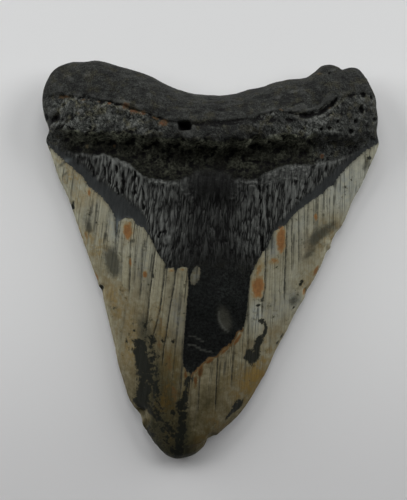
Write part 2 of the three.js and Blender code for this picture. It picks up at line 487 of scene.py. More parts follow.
@dataclass(frozen=True)
class ToothForm:
    """The tooth's overall form: the two height formulas, as in the solid model."""

    edge_heights: Points = ((-66, 2.6), (-30, 1.8), (15, 2.0), (38, 3.4), (52, 6.0), (66, 6.5))
    crown_heights: Points = ((-66, 5.8), (-40, 11.8), (-10, 16.2), (12, 18.2), (28, 19.6), (40, 19.2))
    blade_fullness: float = 2.4
    neck_fullness: float = 2.8
    tip_round: float = 10.0
    root_height: float = 14.5
    root_rise: float = 11.5
    root_spread: float = 36.0
    root_side_round: float = 18.0
    root_base_round: float = 15.0
    wall_below: float = 3.2
    wall_above: float = 0.7
    hollow_depth: float = 1.3
    flat_margin: float = 21.0
    flat_share_least: float = 0.15
    tip_lift_from: float = -15.0
    tip_lift: float = 0.0004
    fuller_over: tuple[float, float] = (-10.0, 30.0)
    outer_root_over: tuple[float, float] = (33.0, 50.0)

    def tip_rounding(self, sheet: Sheet) -> Array:
        """The tip's round end: a quarter of an ellipse, 0 on the edge and 1 past its zone."""
        return np.sqrt(1.0 - np.clip(1.0 - sheet.from_tip / self.tip_round, 0.0, 1.0) ** 2)

    def root_rounding(self, sheet: Sheet) -> Array:
        """The root's round shoulder, 0 on the edge: quarters of an ellipse from its side and base."""
        reach = (sheet.from_side / self.root_side_round, sheet.from_base / self.root_base_round)
        return np.sqrt(np.prod([1.0 - np.clip(1.0 - share, 0.0, 1.0) ** 2 for share in reach], axis=0))

    def inner(self, sheet: Sheet, ledge: Array, neck: Array) -> Array:
        """The inner face: a lens-shaped crown, then a hollow under a ledge, then the root's bulge.

        Args:
            sheet: The face.
            ledge: The y of the ledge's lip at each point's x.
            neck: The y of the crown's upper crest at each point's x.

        Returns:
            The heights above the resting plane.
        """
        fullness = blend(self.blade_fullness, self.neck_fullness, ease(*self.fuller_over, sheet.y))
        lens = (1.0 - sheet.from_middle**fullness) * self.tip_rounding(sheet)
        crown = blend(sheet.edge_height, along(self.crown_heights, sheet.y), lens)
        bulge = self.root_height + self.root_rise * hill(sheet.x, self.root_spread)
        root = blend(sheet.edge_height, bulge, self.root_rounding(sheet))
        up_wall = (sheet.y - ledge + self.wall_below) / (self.wall_below + self.wall_above)
        into_hollow = np.clip((sheet.y - neck) / (ledge - neck), 0.0, 1.0)
        hollow = self.hollow_depth * np.sin(np.pi * into_hollow) ** 2 * lens
        return blend(crown, root, ease(0.0, 1.0, up_wall)) - hollow

    def outer(self, sheet: Sheet) -> Array:
        """The outer face: flat where the tooth rests, rising to a thin edge and a round root.

        Args:
            sheet: The face.

        Returns:
            The heights above the resting plane.
        """
        flat = np.maximum(self.flat_share_least, 1.0 - self.flat_margin / sheet.half_width)
        side_near = np.clip(1.0 - (1.0 - sheet.from_middle) / (1.0 - flat), 0.0, 1.0)
        blade = 1.0 - (1.0 - side_near**2) * self.tip_rounding(sheet)
        root = 1.0 - self.root_rounding(sheet)
        lift = self.tip_lift * np.maximum(0.0, self.tip_lift_from - sheet.y) ** 2
        to_edge = blend(blade, root, ease(*self.outer_root_over, sheet.y))
        return blend(lift, sheet.edge_height, to_edge)


# ---- the landmarks of the inner face ----


@dataclass(frozen=True)
class Landmarks:
    """The lines on the inner face that part its regions from each other."""

    ledge_line: Points = (
        (-56, 44), (-48.5, 43.4), (-45, 42.4), (-41, 41.2), (-38, 41.6), (-33.2, 41.9), (-30, 41),
        (-26, 41.2), (-22.5, 40.2), (-18, 40.6), (-14, 39.2), (-10, 39.8), (-6, 38.4), (-1.9, 38.9),
        (3, 38), (7, 39.4), (11.3, 38.6), (14.6, 40.6), (17, 39.6), (20, 40.4), (25, 40.6), (30.4, 39.8),
        (33.4, 41.6), (39.4, 40.9), (46, 40.2), (56, 42.5),
    )
    neck_line: Points = (
        (-56, 38.5), (-49.7, 36.3), (-44.8, 35.6), (-39.8, 34.7), (-34.9, 34.5), (-31.6, 33.4), (-29, 32.5),
        (-26.3, 31.2), (-23.3, 28.4), (-20, 26.4), (-14.1, 25.7), (-10.8, 26.1), (-8.2, 27.1), (-5.2, 28.2),
        (-1.9, 29), (3.7, 28.4), (8, 26.7), (11.3, 26.1), (14.6, 26.4), (16.9, 27.7), (19.6, 29),
        (22.9, 30.5), (26.2, 31), (33.1, 31), (37.7, 32.4), (42.7, 33.5), (46.6, 35), (49.3, 36.2),
        (56, 38.4),
    )
    split_line: Points = (
        (-56, 53.4), (-49.7, 54.1), (-44.8, 53.6), (-39.2, 52.6), (-33.2, 51.8), (-28.3, 50.2),
        (-23.3, 48.8), (-18.4, 46.9), (-14.1, 45.2), (-8.5, 44.2), (-3.5, 44.4), (1.4, 44.7), (8, 45.4),
        (13, 45.7), (16.9, 47.2), (21.2, 48.3), (24, 47.8), (30, 47.9), (34, 48.5), (37, 50.6), (41, 52.8),
        (47, 54.3), (56, 55),
    )
    enamel_line: Points = (
        (-58, 39.6), (-54.2, 38.4), (-53, 37), (-49.7, 34), (-46.4, 31.2), (-41.8, 27.1), (-40.5, 24.4),
        (-36.5, 21.5), (-33.9, 18.5), (-31.9, 15.2), (-31.3, 13.2), (-31.1, 10.4), (-30.9, 8.3),
        (-30.6, 10.2), (-30.2, 12.6), (-29.2, 13.2), (-27.3, 14), (-25.3, 13.4), (-24.3, 11.6), (-22, 10.6),
        (-20, 7.9), (-18.4, 4.6), (-16.7, 1.3), (-14.8, -1), (-14.9, -3.2), (-13.9, -2.6), (-12.1, -2.3),
        (-11.4, -4.4), (-10.8, -2.6), (-9, -2), (-7.5, -2.6), (-7.3, -8.6), (-7.7, -13.2), (-8.3, -20.1),
        (-8.8, -26.1), (-9.2, -32), (-9, -35), (-8.4, -35.2), (-7.8, -36.6), (-7.4, -36.4), (-6.5, -37.8),
        (-6, -36.6), (-5.1, -36.3), (-4.4, -35), (-3.6, -34.9), (-2.7, -33.6), (-1.9, -33.2), (-0.9, -31.6),
        (0.6, -31.7), (2, -31.3), (2.4, -30.4), (3.1, -29.9), (3.8, -28.8), (5.2, -28.3), (6, -27.1),
        (6.4, -27.8), (7, -26.2), (7.9, -25.2), (8.3, -23.6), (9.2, -22.6), (10, -23.2), (10.9, -21.4),
        (11.7, -17.3), (12.2, -11.4), (12.9, -5.3), (14.9, -1), (16.4, 1.6), (17.6, 3.3), (18.6, 4.3),
        (19.6, 7.3), (20.2, 9.2), (22.9, 10.6), (24.5, 11.6), (26.5, 14.2), (28.8, 16.5), (31.4, 18.2),
        (33.4, 19.8), (36.7, 21.8), (38.4, 23.8), (40.3, 24.8), (41.3, 26.4), (43.6, 29.4), (46.6, 32.3),
        (49.9, 35.3), (52.6, 37), (55.5, 38.7), (58, 39.4),
    )
    strip_line: Points = (
        (-57, 41), (-50.5, 36.6), (-45, 32.8), (-39, 28), (-34.5, 23.6), (-29, 20.6), (-24, 17.4),
        (-21.4, 13.6), (-20.4, 9), (-17.4, 1.6), (-15, -3), (-9, -4),
    )
    strip_right: Points = (
        (13.6, -6), (16.4, 1), (18.6, 4.8), (20.6, 10.6), (24, 13.4), (27, 17.2), (31.4, 21.2),
        (36.2, 25.6), (40, 29), (44.6, 32.8), (49.6, 36.8), (57, 41.6),
    )
    # How strongly the finish paints highlights on the band's and the collar's crests, along x.
    band_gain: Points = (
        (-56, 0.35), (-48, 1), (-24, 1), (-17, 0.5), (-12, 0.2), (14, 0.2), (18, 0.9), (36, 0.9),
        (44, 0.55), (56, 0.5),
    )
    collar_gain: Points = (
        (-50, 0.2), (-38, 0.5), (-34, 0.95), (-24, 1), (-16, 0.9), (-10, 0.45), (-5, 0.08), (5, 0.08),
        (10, 0.5), (16, 0.8), (30, 1), (42, 0.8), (50, 0.4),
    )
    plate: Spot = Spot(24.5, 45.4, 9.5, 2.0, 9.0)
    island: Spot = Spot(-5.0, -5.0, 1.5, 3.1, -16.0)
    chip: Spot = Spot(-23.2, -52.8, 3.5, 5.0, -12.0)
    above: float = 90.0
    outer_wave: Texture = Texture(layered_noise, 5.0, 5.0, 0.9, 21)

    def level(self, points: Points, x: Array) -> Array:
        """The y of a line at each x, straight between its points."""
        place, height = np.array(points).T
        return np.interp(x, place, height)

    def enamel_depth(self, sheet: Sheet) -> Array:
        """How far each point is inside the enamel, in millimetres: negative on the dark parts.

        Args:
            sheet: The face.

        Returns:
            The signed distance to the enamel's edge.
        """
        if sheet.side is Side.OUTER:
            arch = 41.5 - 2.5 * hill(sheet.x, 9.0) - 4.0 * (sheet.x / 55.0) ** 4
            return arch + self.outer_wave.at(sheet.x, sheet.y) - sheet.y
        line = np.array(self.enamel_line)
        closed = np.vstack([line, (line[-1, 0], self.above), (line[0, 0], self.above)])
        away = line_distance(sheet.x, sheet.y, line)
        depth = np.where(is_inside(sheet.x, sheet.y, closed), -away, away)
        on_island = (1.0 - self.island.reach(sheet.x, sheet.y)) * self.island.half_width
        return np.maximum(depth, on_island)


@dataclass
class Regions:
    """How much each point belongs to each region of its face, 0 to 1, and its distances to lines."""

    enamel_depth: Array
    root_top: Array
    band: Array
    hollow: Array
    collar: Array
    strip: Array
    spear: Array
    above_split: Array
    below_neck: Array
    gain: Array

    @classmethod
    def of(cls, sheet: Sheet, marks: Landmarks) -> "Regions":
        """Works the regions out from the landmarks.

        Args:
            sheet: The face.
            marks: The face's lines.

        Returns:
            The regions.
        """
        depth = marks.enamel_depth(sheet)
        dark = ease(0.15, -0.15, depth)
        x, y = sheet.x, sheet.y
        if sheet.side is Side.OUTER:
            none = np.zeros(x.shape)
            return cls(depth, dark, none, none, none, none, none, none + 9.0, none - 9.0, none + 0.4)
        jitter = layered_noise(x / 3.0, y / 3.0, 31)
        fine_jitter = layered_noise(x / 1.3, y / 1.3, 33)
        above_ledge = y - marks.level(marks.ledge_line, x) + 1.3 * jitter + 0.6 * fine_jitter
        above_split = y - marks.level(marks.split_line, x) + 0.7 * jitter + 0.3 * fine_jitter
        below_neck = marks.level(marks.neck_line, x) - y + 0.8 * jitter + 0.35 * fine_jitter
        past_ledge = ease(-0.5, 0.5, above_ledge)
        past_split = ease(-0.25, 0.35, above_split)
        soft_neck = 0.4 + 1.4 * hill(x - 1.0, 9.0)
        past_neck = ease(soft_neck, -soft_neck, below_neck)
        under = dark * (1.0 - past_neck)
        left_strip = ease(2.4, -1.8, y - marks.level(marks.strip_line, x) + 1.9 * jitter) * (x < -9.0)
        right_strip = ease(1.6, -1.4, y - marks.level(marks.strip_right, x) + 1.6 * jitter) * (x > 13.6)
        strip = dark * np.maximum(left_strip, right_strip)
        spear = under * ease(4.0, -9.0, y + 2.0 * jitter) * (1.0 - strip)
        collar = under * (1.0 - strip) * (1.0 - spear)
        in_hollow = ease(-50.5, -46.0, x + 2.0 * jitter) * ease(36.5, 31.0, x + 2.0 * jitter)
        hollow = dark * past_neck * (1.0 - past_ledge)
        band = dark * past_ledge * (1.0 - past_split) + hollow * (1.0 - in_hollow)
        # gain: how strongly the finish paints highlights on crests and brightens the band and collar.
        gain = np.where(
            y > marks.level(marks.neck_line, x) + 0.3,
            along(marks.band_gain, x) * (1.0 - 0.6 * ease(1.2, 0.6, marks.plate.reach(x, y))),
            along(marks.collar_gain, x) * blend(1.0, ease(-3.0, 10.0, y), 0.75 * hill(x, 11.0))
            + 0.16 * hill(x, 8.0) * ease(23.5, 19.0, y) * ease(-6.0, 4.0, y),
        )
        # In the hollow it rises to 1 on the wall under the ledge, where the finish pales the colour as
        # painted light against the ledge's shadow.
        gain = blend(gain, ease(-4.0, -1.8, above_ledge), hollow * in_hollow)
        return cls(depth, dark * past_split, band, hollow * in_hollow, collar, strip, spear,
                   above_split, below_neck, gain)


# ---- the relief of each region ----


def grain_lean(x: Array | float) -> Array | float:
    """How far the crown's grain moves to the right for each millimetre up: more on the left."""
    return 0.080 - 0.0018 * x


def grain_across(sheet: Sheet) -> Array:
    """A coordinate across the crown's grain, whose lines lean towards the tip."""
    return sheet.x - grain_lean(sheet.x) * sheet.y


@dataclass(frozen=True)
class RootRelief:
    """The root's relief: a smooth upper layer, a rough band, cracks, pits and the nutrient hole."""

    hole: Spot = Spot(-8.5, 43.6, 2.1, 1.5, 4.0, 1.0, 5.0)
    hole_depth: float = 3.2
    layer: float = 0.30
    crack_depth: float = 0.45
    cracks: tuple[Streak, ...] = (
        Streak(((20.4, 48.3), (24, 49.3), (27.4, 50.5), (31, 52.2)), 0.35, 0.45),
        Streak(
            ((29.4, 46.8), (32.4, 46.9), (35, 47.5), (37.6, 49.4), (40.8, 51.6), (43.6, 52.6)), 0.8, 1.2,
        ),
        Streak(((-54.5, 46.4), (-52.6, 45.2), (-50.6, 46.6)), 0.8, 0.9),
        Streak(((-47, 43.6), (-44.6, 41.9), (-42, 42.6)), 0.5, 0.8),
        Streak(((-22, 45), (-19.6, 43), (-17.6, 42.4)), 0.4, 0.6),
        Streak(((-3.2, 43.9), (1.6, 43.5), (6.8, 44.2), (11, 44.4)), 0.4, 0.6),
        Streak(((16, 42.6), (18.4, 44.6), (22, 46), (27, 45.4), (31, 44.6)), 0.5, 0.7),
        Streak(((33, 45.6), (36.6, 46), (39.4, 48)), 0.45, 0.6),
    )
    pores: tuple[Spot, ...] = spots(
        (49.9, 54.1, 0.75, 0.75), (52.9, 53.5, 0.6, 0.7), (49.3, 49.2, 0.7, 1.3, 12),
        (53.9, 46.2, 0.7, 0.6), (38.7, 61.1, 0.4, 0.4), (-50.4, 46.6, 1.5, 3.4, -14, 0.5),
        (-49.6, 43.6, 2.2, 1.2, 10, 0.45), (-54.6, 46.8, 1, 1.3), (36, 42.6, 0.5, 0.4),
        (45.8, 42, 0.6, 0.8), (47.2, 45.4, 0.5, 0.6), (41.4, 45.2, 0.35, 0.45), (38.6, 42.9, 0.6, 0.45),
    )
    cut_depth: float = 0.9
    pore_depth: float = 0.9
    pit_depth: float = 0.34
    slant_cos: float = 0.80
    slant_sin: float = 0.60
    swell: Texture = Texture(layered_noise, 9.0, 9.0, 0.55, 41)
    dents: Texture = Texture(gradient_noise, 3.4, 2.8, 0.22, 40)
    grit: Texture = Texture(layered_noise, 1.7, 1.0, 0.14, 42)
    beds: Texture = Texture(gradient_noise, 8.0, 1.1, 0.16, 43)
    bed_bow: float = 0.006
    ridges: Texture = Texture(creases, 1.3, 2.9, 1.0, 44)
    small_ridges: Texture = Texture(creases, 1.15, 1.3, 1.0, 45)
    slabs: Texture = Texture(layered_noise, 3.0, 5.0, 0.16, 39)
    pits: Texture = Texture(pore_noise, 2.6, 2.6, 1.0, 46)
    gaps: Texture = Texture(gradient_noise, 4.6, 9.0, 1.0, 48)
    rubble: Texture = Texture(layered_noise, 3.8, 3.0, 0.95, 47)
    rubble_edges: Texture = Texture(creases, 1.7, 1.4, 0.12, 49)

    def lift(self, sheet: Sheet, parts: Regions, marks: Landmarks) -> Array:
        """The height of the relief above the root's form.

        Args:
            sheet: The face.
            parts: The face's regions.
            marks: The face's lines.

        Returns:
            The relief, in millimetres.
        """
        x, y = sheet.x, sheet.y
        on_root = parts.root_top + parts.band
        relief = on_root * (self.swell.at(x, y) + self.dents.at(x, y))
        relief += parts.root_top * self.grit.at(x, y)
        relief += parts.root_top * self.beds.at(x, y - self.bed_bow * x**2) * (0.5 + ease(58.0, 50.0, y))
        slant = x * self.slant_cos - y * self.slant_sin
        rise = x * self.slant_sin + y * self.slant_cos
        ridges = self.ridges.at(slant, rise)
        rough = self.roughness(sheet, marks)
        relief += parts.band * blend(0.07, 0.14, rough) * ridges
        small = blend(0.05, 0.12, rough) * self.small_ridges.at(x, y)
        relief += parts.band * (small + self.slabs.at(slant, rise))
        pits = ease(0.3, 0.14, self.pits.at(x, y))
        lobe = ease(36.0, 44.0, x) * on_root
        relief -= self.pit_depth * pits * (0.25 * lobe + 0.3 * parts.band)
        if sheet.side is Side.OUTER:
            return relief + parts.root_top * (0.10 * ridges - 0.25 * pits) - 0.35 * parts.root_top
        relief += self.damage(sheet, parts)
        return relief + parts.hollow * (self.rubble.at(x, y) + self.rubble_edges.at(x, y))

    def roughness(self, sheet: Sheet, marks: Landmarks) -> Array:
        """How rough the band is, 0 to 1: least in its middle, at the far right and on its plate."""
        off_middle = ease(9.0, 20.0, np.abs(sheet.x + 1.0)) * blend(1.0, 0.35, ease(31.0, 39.0, sheet.x))
        return off_middle * (1.0 - 0.8 * ease(1.3, 0.7, marks.plate.reach(sheet.x, sheet.y)))

    def damage(self, sheet: Sheet, parts: Regions) -> Array:
        """The flaked upper layer, with the long split, cracks, pores and square cavity cut in it.

        Args:
            sheet: The face.
            parts: The face's regions.

        Returns:
            The height to add, in millimetres.
        """
        x, y = sheet.x, sheet.y
        on_root = parts.root_top + parts.band
        flake = ease(-54.0, -48.0, x) * ease(56.0, 44.0, x)
        torn = blend(0.1, 1.0, ease(-0.2, 0.4, self.gaps.at(x, y)))
        split = hill(parts.above_split + 0.25, 0.3)
        height = parts.root_top * self.layer * flake
        height -= on_root * self.crack_depth * split * flake * torn
        height -= on_root * streak_mask(x, y, self.cracks) ** 2 * self.cut_depth * torn
        height -= self.pore_depth * ease(0.25, 0.8, spot_mask(x, y, self.pores))
        return height - self.hole_depth * ease(1.2, 0.7, self.hole.reach(x, y))


@dataclass(frozen=True)
class CollarRelief:
    """The collar under the neck: a thin crest, a dome, coarse grooves and fine upright wrinkles."""

    crest: Points = (
        (-52, 0), (-38, 0.1), (-35, 0.26), (-20, 0.26), (-12, 0.2), (-8, 0), (10, 0), (14, 0.15),
        (17, 0.15), (30, 0.15), (40, 0.1), (50, 0),
    )
    wrinkled_from: Points = (
        (-45, 0.6), (-20, 0.9), (-11, 1.4), (-7, 8), (7, 7), (11, 1.4), (16, 2.6), (21, 4.4), (30, 4.6),
        (35, 1.2), (46, 0.6),
    )
    dome: Spot = Spot(1.0, 24.4, 9.4, 4.6)
    dome_height: float = 1.0
    boss: Spot = Spot(-14.5, 6.5, 1.9, 1.9)
    grooves: tuple[Streak, ...] = (
        Streak(((-41, 33.6), (-39, 30.5), (-38.4, 27.6), (-37, 24.4)), 0.5),
        Streak(((-35.4, 31), (-34.8, 27)), 0.4, 0.8),
        Streak(((-33.2, 31), (-33, 25)), 0.4, 0.8),
        Streak(((-30.8, 30.6), (-30.8, 24), (-30.4, 21.5)), 0.5),
        Streak(((-28.6, 30), (-28.7, 25), (-28.9, 22)), 0.45, 0.9),
        Streak(((-24.9, 29.2), (-24.7, 23), (-24.9, 18.4)), 0.5),
        Streak(((-22, 26), (-22.2, 21), (-21.8, 17)), 0.45, 0.8),
        Streak(((15.6, 26), (16.4, 20), (16.2, 14)), 0.45, 0.9),
        Streak(((16.2, 14), (16.9, 8), (16.5, 2)), 0.7, 1.1),
        Streak(((18.4, 24), (18.3, 15), (18.9, 10.6), (18.8, 6)), 0.5, 0.8),
        Streak(((33.4, 30.8), (32.6, 27.6), (31.2, 24.8)), 0.65, 0.9),
        Streak(((38.2, 32.6), (37.6, 29.6), (36.8, 27)), 0.5, 0.8),
        Streak(((28.3, 20.4), (30.2, 18.9)), 0.4, 0.9),
        Streak(((-17, 7.4), (-16.2, 8.9), (-14.4, 9.3)), 0.5, 0.9),
        Streak(((-20.4, 26.2), (-17.4, 23.4)), 1.3, 0.6),
    )
    crest_width: float = 0.5
    boss_height: float = 0.35
    groove_depth: float = 0.55
    strip_depth: float = 0.08
    plateau_height: float = 0.30
    sway: Texture = Texture(gradient_noise, 2.6, 3.4, 0.7, 51)
    broad: Texture = Texture(creases, 2.2, 7.0, 0.7, 52)
    narrow: Texture = Texture(creases, 1.4, 5.6, 0.7, 53)
    fine: Texture = Texture(gradient_noise, 0.85, 3.4, 0.5, 56)
    swell: Texture = Texture(gradient_noise, 3.0, 7.0, 0.16, 55)
    rubble: Texture = Texture(creases, 1.8, 1.3, 0.18, 57)
    wander: Texture = Texture(layered_noise, 3.0, 2.6, 0.6, 58)
    gaps: Texture = Texture(gradient_noise, 2.0, 3.0, 1.0, 59)

    def wrinkles(self, sheet: Sheet) -> Array:
        """Upright wandering wrinkles: ridges between creases, broader towards the left.

        Args:
            sheet: The face.

        Returns:
            The wrinkles, about -1 to 1.
        """
        across = grain_across(sheet) + self.sway.at(sheet.x, sheet.y)
        to_left = ease(-20.0, -25.0, sheet.x)
        ridges = blend(self.narrow.at(across, sheet.y), self.broad.at(across, sheet.y), to_left)
        return ridges + self.fine.at(across, sheet.y)

    def zones(self, sheet: Sheet, parts: Regions) -> tuple[Array, Array, Array]:
        """The parts of the collar, which blend into each other.

        Args:
            sheet: The face.
            parts: The face's regions.

        Returns:
            How wrinkled each point is, how much it is on the dome, and on the rough plateau.
        """
        start = along(self.wrinkled_from, sheet.x)
        wrinkled = ease(start - 0.6, start + 1.2, parts.below_neck)
        on_dome = ease(1.5, 0.1, self.dome.reach(sheet.x, sheet.y))
        plateau = parts.collar * (1.0 - wrinkled) * (1.0 - on_dome) * ease(0.0, 0.8, parts.below_neck)
        return wrinkled, on_dome, plateau

    def lift(self, sheet: Sheet, parts: Regions) -> Array:
        """The height of the relief above the crown's form.

        Args:
            sheet: The face.
            parts: The face's regions.

        Returns:
            The relief, in millimetres.
        """
        x, y = sheet.x, sheet.y
        wrinkled, on_dome, plateau = self.zones(sheet, parts)
        dark = ease(0.15, -0.15, parts.enamel_depth)
        relief = dark * along(self.crest, x) * hill(parts.below_neck, self.crest_width)
        relief += self.dome_height * on_dome
        relief += self.boss_height * ease(1.2, 0.5, self.boss.reach(x, y))
        strength = parts.collar * wrinkled * blend(1.0, 0.45, hill(x - 0.5, 7.0) * ease(12.0, 5.0, y))
        relief += strength * blend(0.21, 0.28, ease(-19.0, -24.0, x)) * self.wrinkles(sheet)
        relief += strength * self.swell.at(x, y)
        relief += plateau * (self.plateau_height + self.rubble.at(x, y))
        cut = streak_mask(x + self.wander.at(x, y), y, self.grooves) ** 2
        cut = cut * blend(0.4, 1.0, ease(-0.3, 0.2, self.gaps.at(x, y)))
        relief -= self.groove_depth * (parts.collar + 0.3 * parts.strip) * cut
        return relief - self.strip_depth * parts.strip


@dataclass(frozen=True)
class CrownRelief:
    """The crown's relief: the enamel's thickness, its cracks and chips, and the bare spear."""

    step: float = 0.32
    spear_scar: Spot = Spot(5.4, -18.0, 3.0, 5.4, -16.0)
    crack_depth: float = 0.28
    nicks: tuple[Spot, ...] = spots(
        (-36.4, -9.3, 1.5, 1.3), (31.6, -9.9, 1.3, 1.2), (39.2, 4, 1.6, 1.4), (-46.2, 17.6, 1.1, 1.6, 30),
        (27, -18.9, 0.9, 0.9), (0.3, -58.6, 1.9, 1.6), (51.6, 26.9, 0.8, 1), (44, 11.8, 0.9, 0.9),
    )
    scar_depth: float = 0.6
    chip_depth: float = 1.3
    nick_depth: float = 0.5
    border: Texture = Texture(layered_noise, 1.4, 1.8, 0.3, 64)
    swell: Texture = Texture(layered_noise, 4.0, 14.0, 0.14, 61)
    fibres: Texture = Texture(gradient_noise, 0.9, 12.0, 0.035, 62)
    bare_swell: Texture = Texture(layered_noise, 3.6, 6.0, 0.2, 63)
    bare_ridges: Texture = Texture(creases, 1.7, 2.0, 0.05, 65)

    def lift(self, sheet: Sheet, parts: Regions, crack: Array, marks: Landmarks) -> Array:
        """The height of the relief above the crown's form.

        Args:
            sheet: The face.
            parts: The face's regions.
            crack: How much each point is in a crack, 0 to 1.
            marks: The face's lines.

        Returns:
            The relief, in millimetres.
        """
        x, y = sheet.x, sheet.y
        across = grain_across(sheet)
        on_enamel = ease(-0.4, 0.7, parts.enamel_depth + self.border.at(x, y))
        fade = ease(0.2, 2.0, sheet.from_edge)
        relief = on_enamel * fade * (self.step + self.swell.at(across, y) + self.fibres.at(across, y))
        relief -= on_enamel * self.crack_depth * crack
        if sheet.side is Side.OUTER:
            return relief - self.step * fade
        relief += parts.spear * (self.bare_swell.at(x, y) + self.bare_ridges.at(x, y))
        relief -= parts.spear * self.scar_depth * ease(1.15, 0.4, self.spear_scar.reach(x, y))
        relief -= self.chip_depth * ease(1.12, 0.55, marks.chip.reach(x, y))
        return relief - self.nick_depth * ease(0.3, 0.9, spot_mask(x, y, self.nicks))


# ---- the marks: cracks, rust and stains ----


@dataclass(frozen=True)
class EnamelCracks:
    """The long dark cracks, which follow the crown's grain. None of them crosses another."""

    lines: tuple[tuple[Points, float], ...] = (
        (((-33.9, 14.6), (-33.9, 5)), 0.3),
        (((-30.9, 13.5), (-31, 2)), 0.75),
        (((-28.9, 7.6), (-29.2, -7)), 0.45),
        (((-26, 5), (-26.4, -5.6), (-26.7, -11.4)), 0.85),
        (((-24.4, 4.8), (-24.8, -8)), 0.45),
        (((-22.2, 3.3), (-22.5, -5.6), (-23, -12.4)), 0.8),
        (((-18.1, 3.3), (-19.2, -5.6), (-19.8, -9.9), (-20.5, -17.3), (-21, -21.8)), 1),
        (((-14.8, -1), (-15.3, -6.9), (-16.1, -12.9), (-16.6, -16.8), (-18.1, -22.6),
          (-18.7, -24.8)), 1),
        (((-11.5, -2.6), (-11.8, -6.9), (-12.5, -11.4), (-13.3, -15.8), (-14.2, -21.8), (-14.8, -26.1),
          (-15.4, -29), (-15.8, -34.3)), 1),
        (((-9.3, -27), (-9.6, -38.5), (-9.9, -44)), 0.8),
        (((-6.7, -38.3), (-7.3, -42.9), (-7.8, -47.4)), 0.95),
        (((-3.5, -37), (-3.9, -42.9), (-4.3, -49.7)), 0.85),
        (((2.2, -32.7), (1.7, -41.5), (1.4, -48.8)), 1),
        (((7.3, -29.7), (6.9, -35.6), (6.6, -41.3)), 0.9),
        (((12.1, -14), (12.2, -22), (11.9, -29.5)), 0.75),
        (((17.8, 3), (17.6, -8.9), (16.7, -14.4), (16.6, -17.8)), 1),
        (((20.6, 8.6), (20.8, -13.5)), 0.28),
        (((24.7, 11.4), (24.4, 2.3), (24.1, -8.9), (24, -13)), 1),
        (((26.3, 13.4), (26.4, -3.4)), 0.75),
        (((28.5, 15.4), (28.8, -1)), 0.7),
        (((30.4, 17.2), (30.6, 5)), 0.45),
        (((34.4, 20.1), (34.6, 15)), 0.6),
        (((37.4, 21.6), (38.2, 15.4)), 0.45),
    )
    fade: float = 2.0
    least_gap: float = 0.5
    margin: float = 90.0
    half_width: float = 0.35

    def field(self, sheet: Sheet) -> tuple[Array, Array, Array]:
        """A crack number that rises across the face and is whole on each crack.

        Between two neighbours it rises evenly, so its distance to the nearest whole number times
        the gap between them is the distance to the crack.

        Args:
            sheet: The face.

        Returns:
            The crack number, the gap between the neighbours in millimetres, and the nearest
            crack's strength there, 0 to 1.
        """
        x, y = sheet.mark_place
        places, strengths = [], []
        for points, strength in self.lines:
            at_x, at_y = np.array(sorted(points, key=lambda point: point[1])).T
            past = y - np.clip(y, at_y[0], at_y[-1])
            places.append(np.interp(y, at_y, at_x) + grain_lean(at_x.mean()) * past)
            inside = ease(at_y[0] - self.fade, at_y[0] + self.fade, y)
            strengths.append(strength * inside * (1.0 - ease(at_y[-1], at_y[-1] + self.fade, y)))
        step = self.least_gap * np.arange(len(places))[:, None, None]
        place = np.maximum.accumulate(np.array(places) - step, axis=0) + step
        far_side = np.full((1,) + x.shape, self.margin)
        place = np.concatenate([-far_side, place, far_side])
        none = np.zeros((1,) + x.shape)
        strength = np.concatenate([none, np.array(strengths), none])
        after = np.clip((place < x).sum(0), 1, len(place) - 1)[None]
        low = np.take_along_axis(place, after - 1, 0)[0]
        high = np.take_along_axis(place, after, 0)[0]
        gap = np.maximum(high - low, 0.01)
        share = (x - low) / gap
        nearest = after[0] - 1 + (share > 0.5)
        dark = np.take_along_axis(strength, nearest[None], 0)[0]
        return after[0] - 1 + share, gap, dark


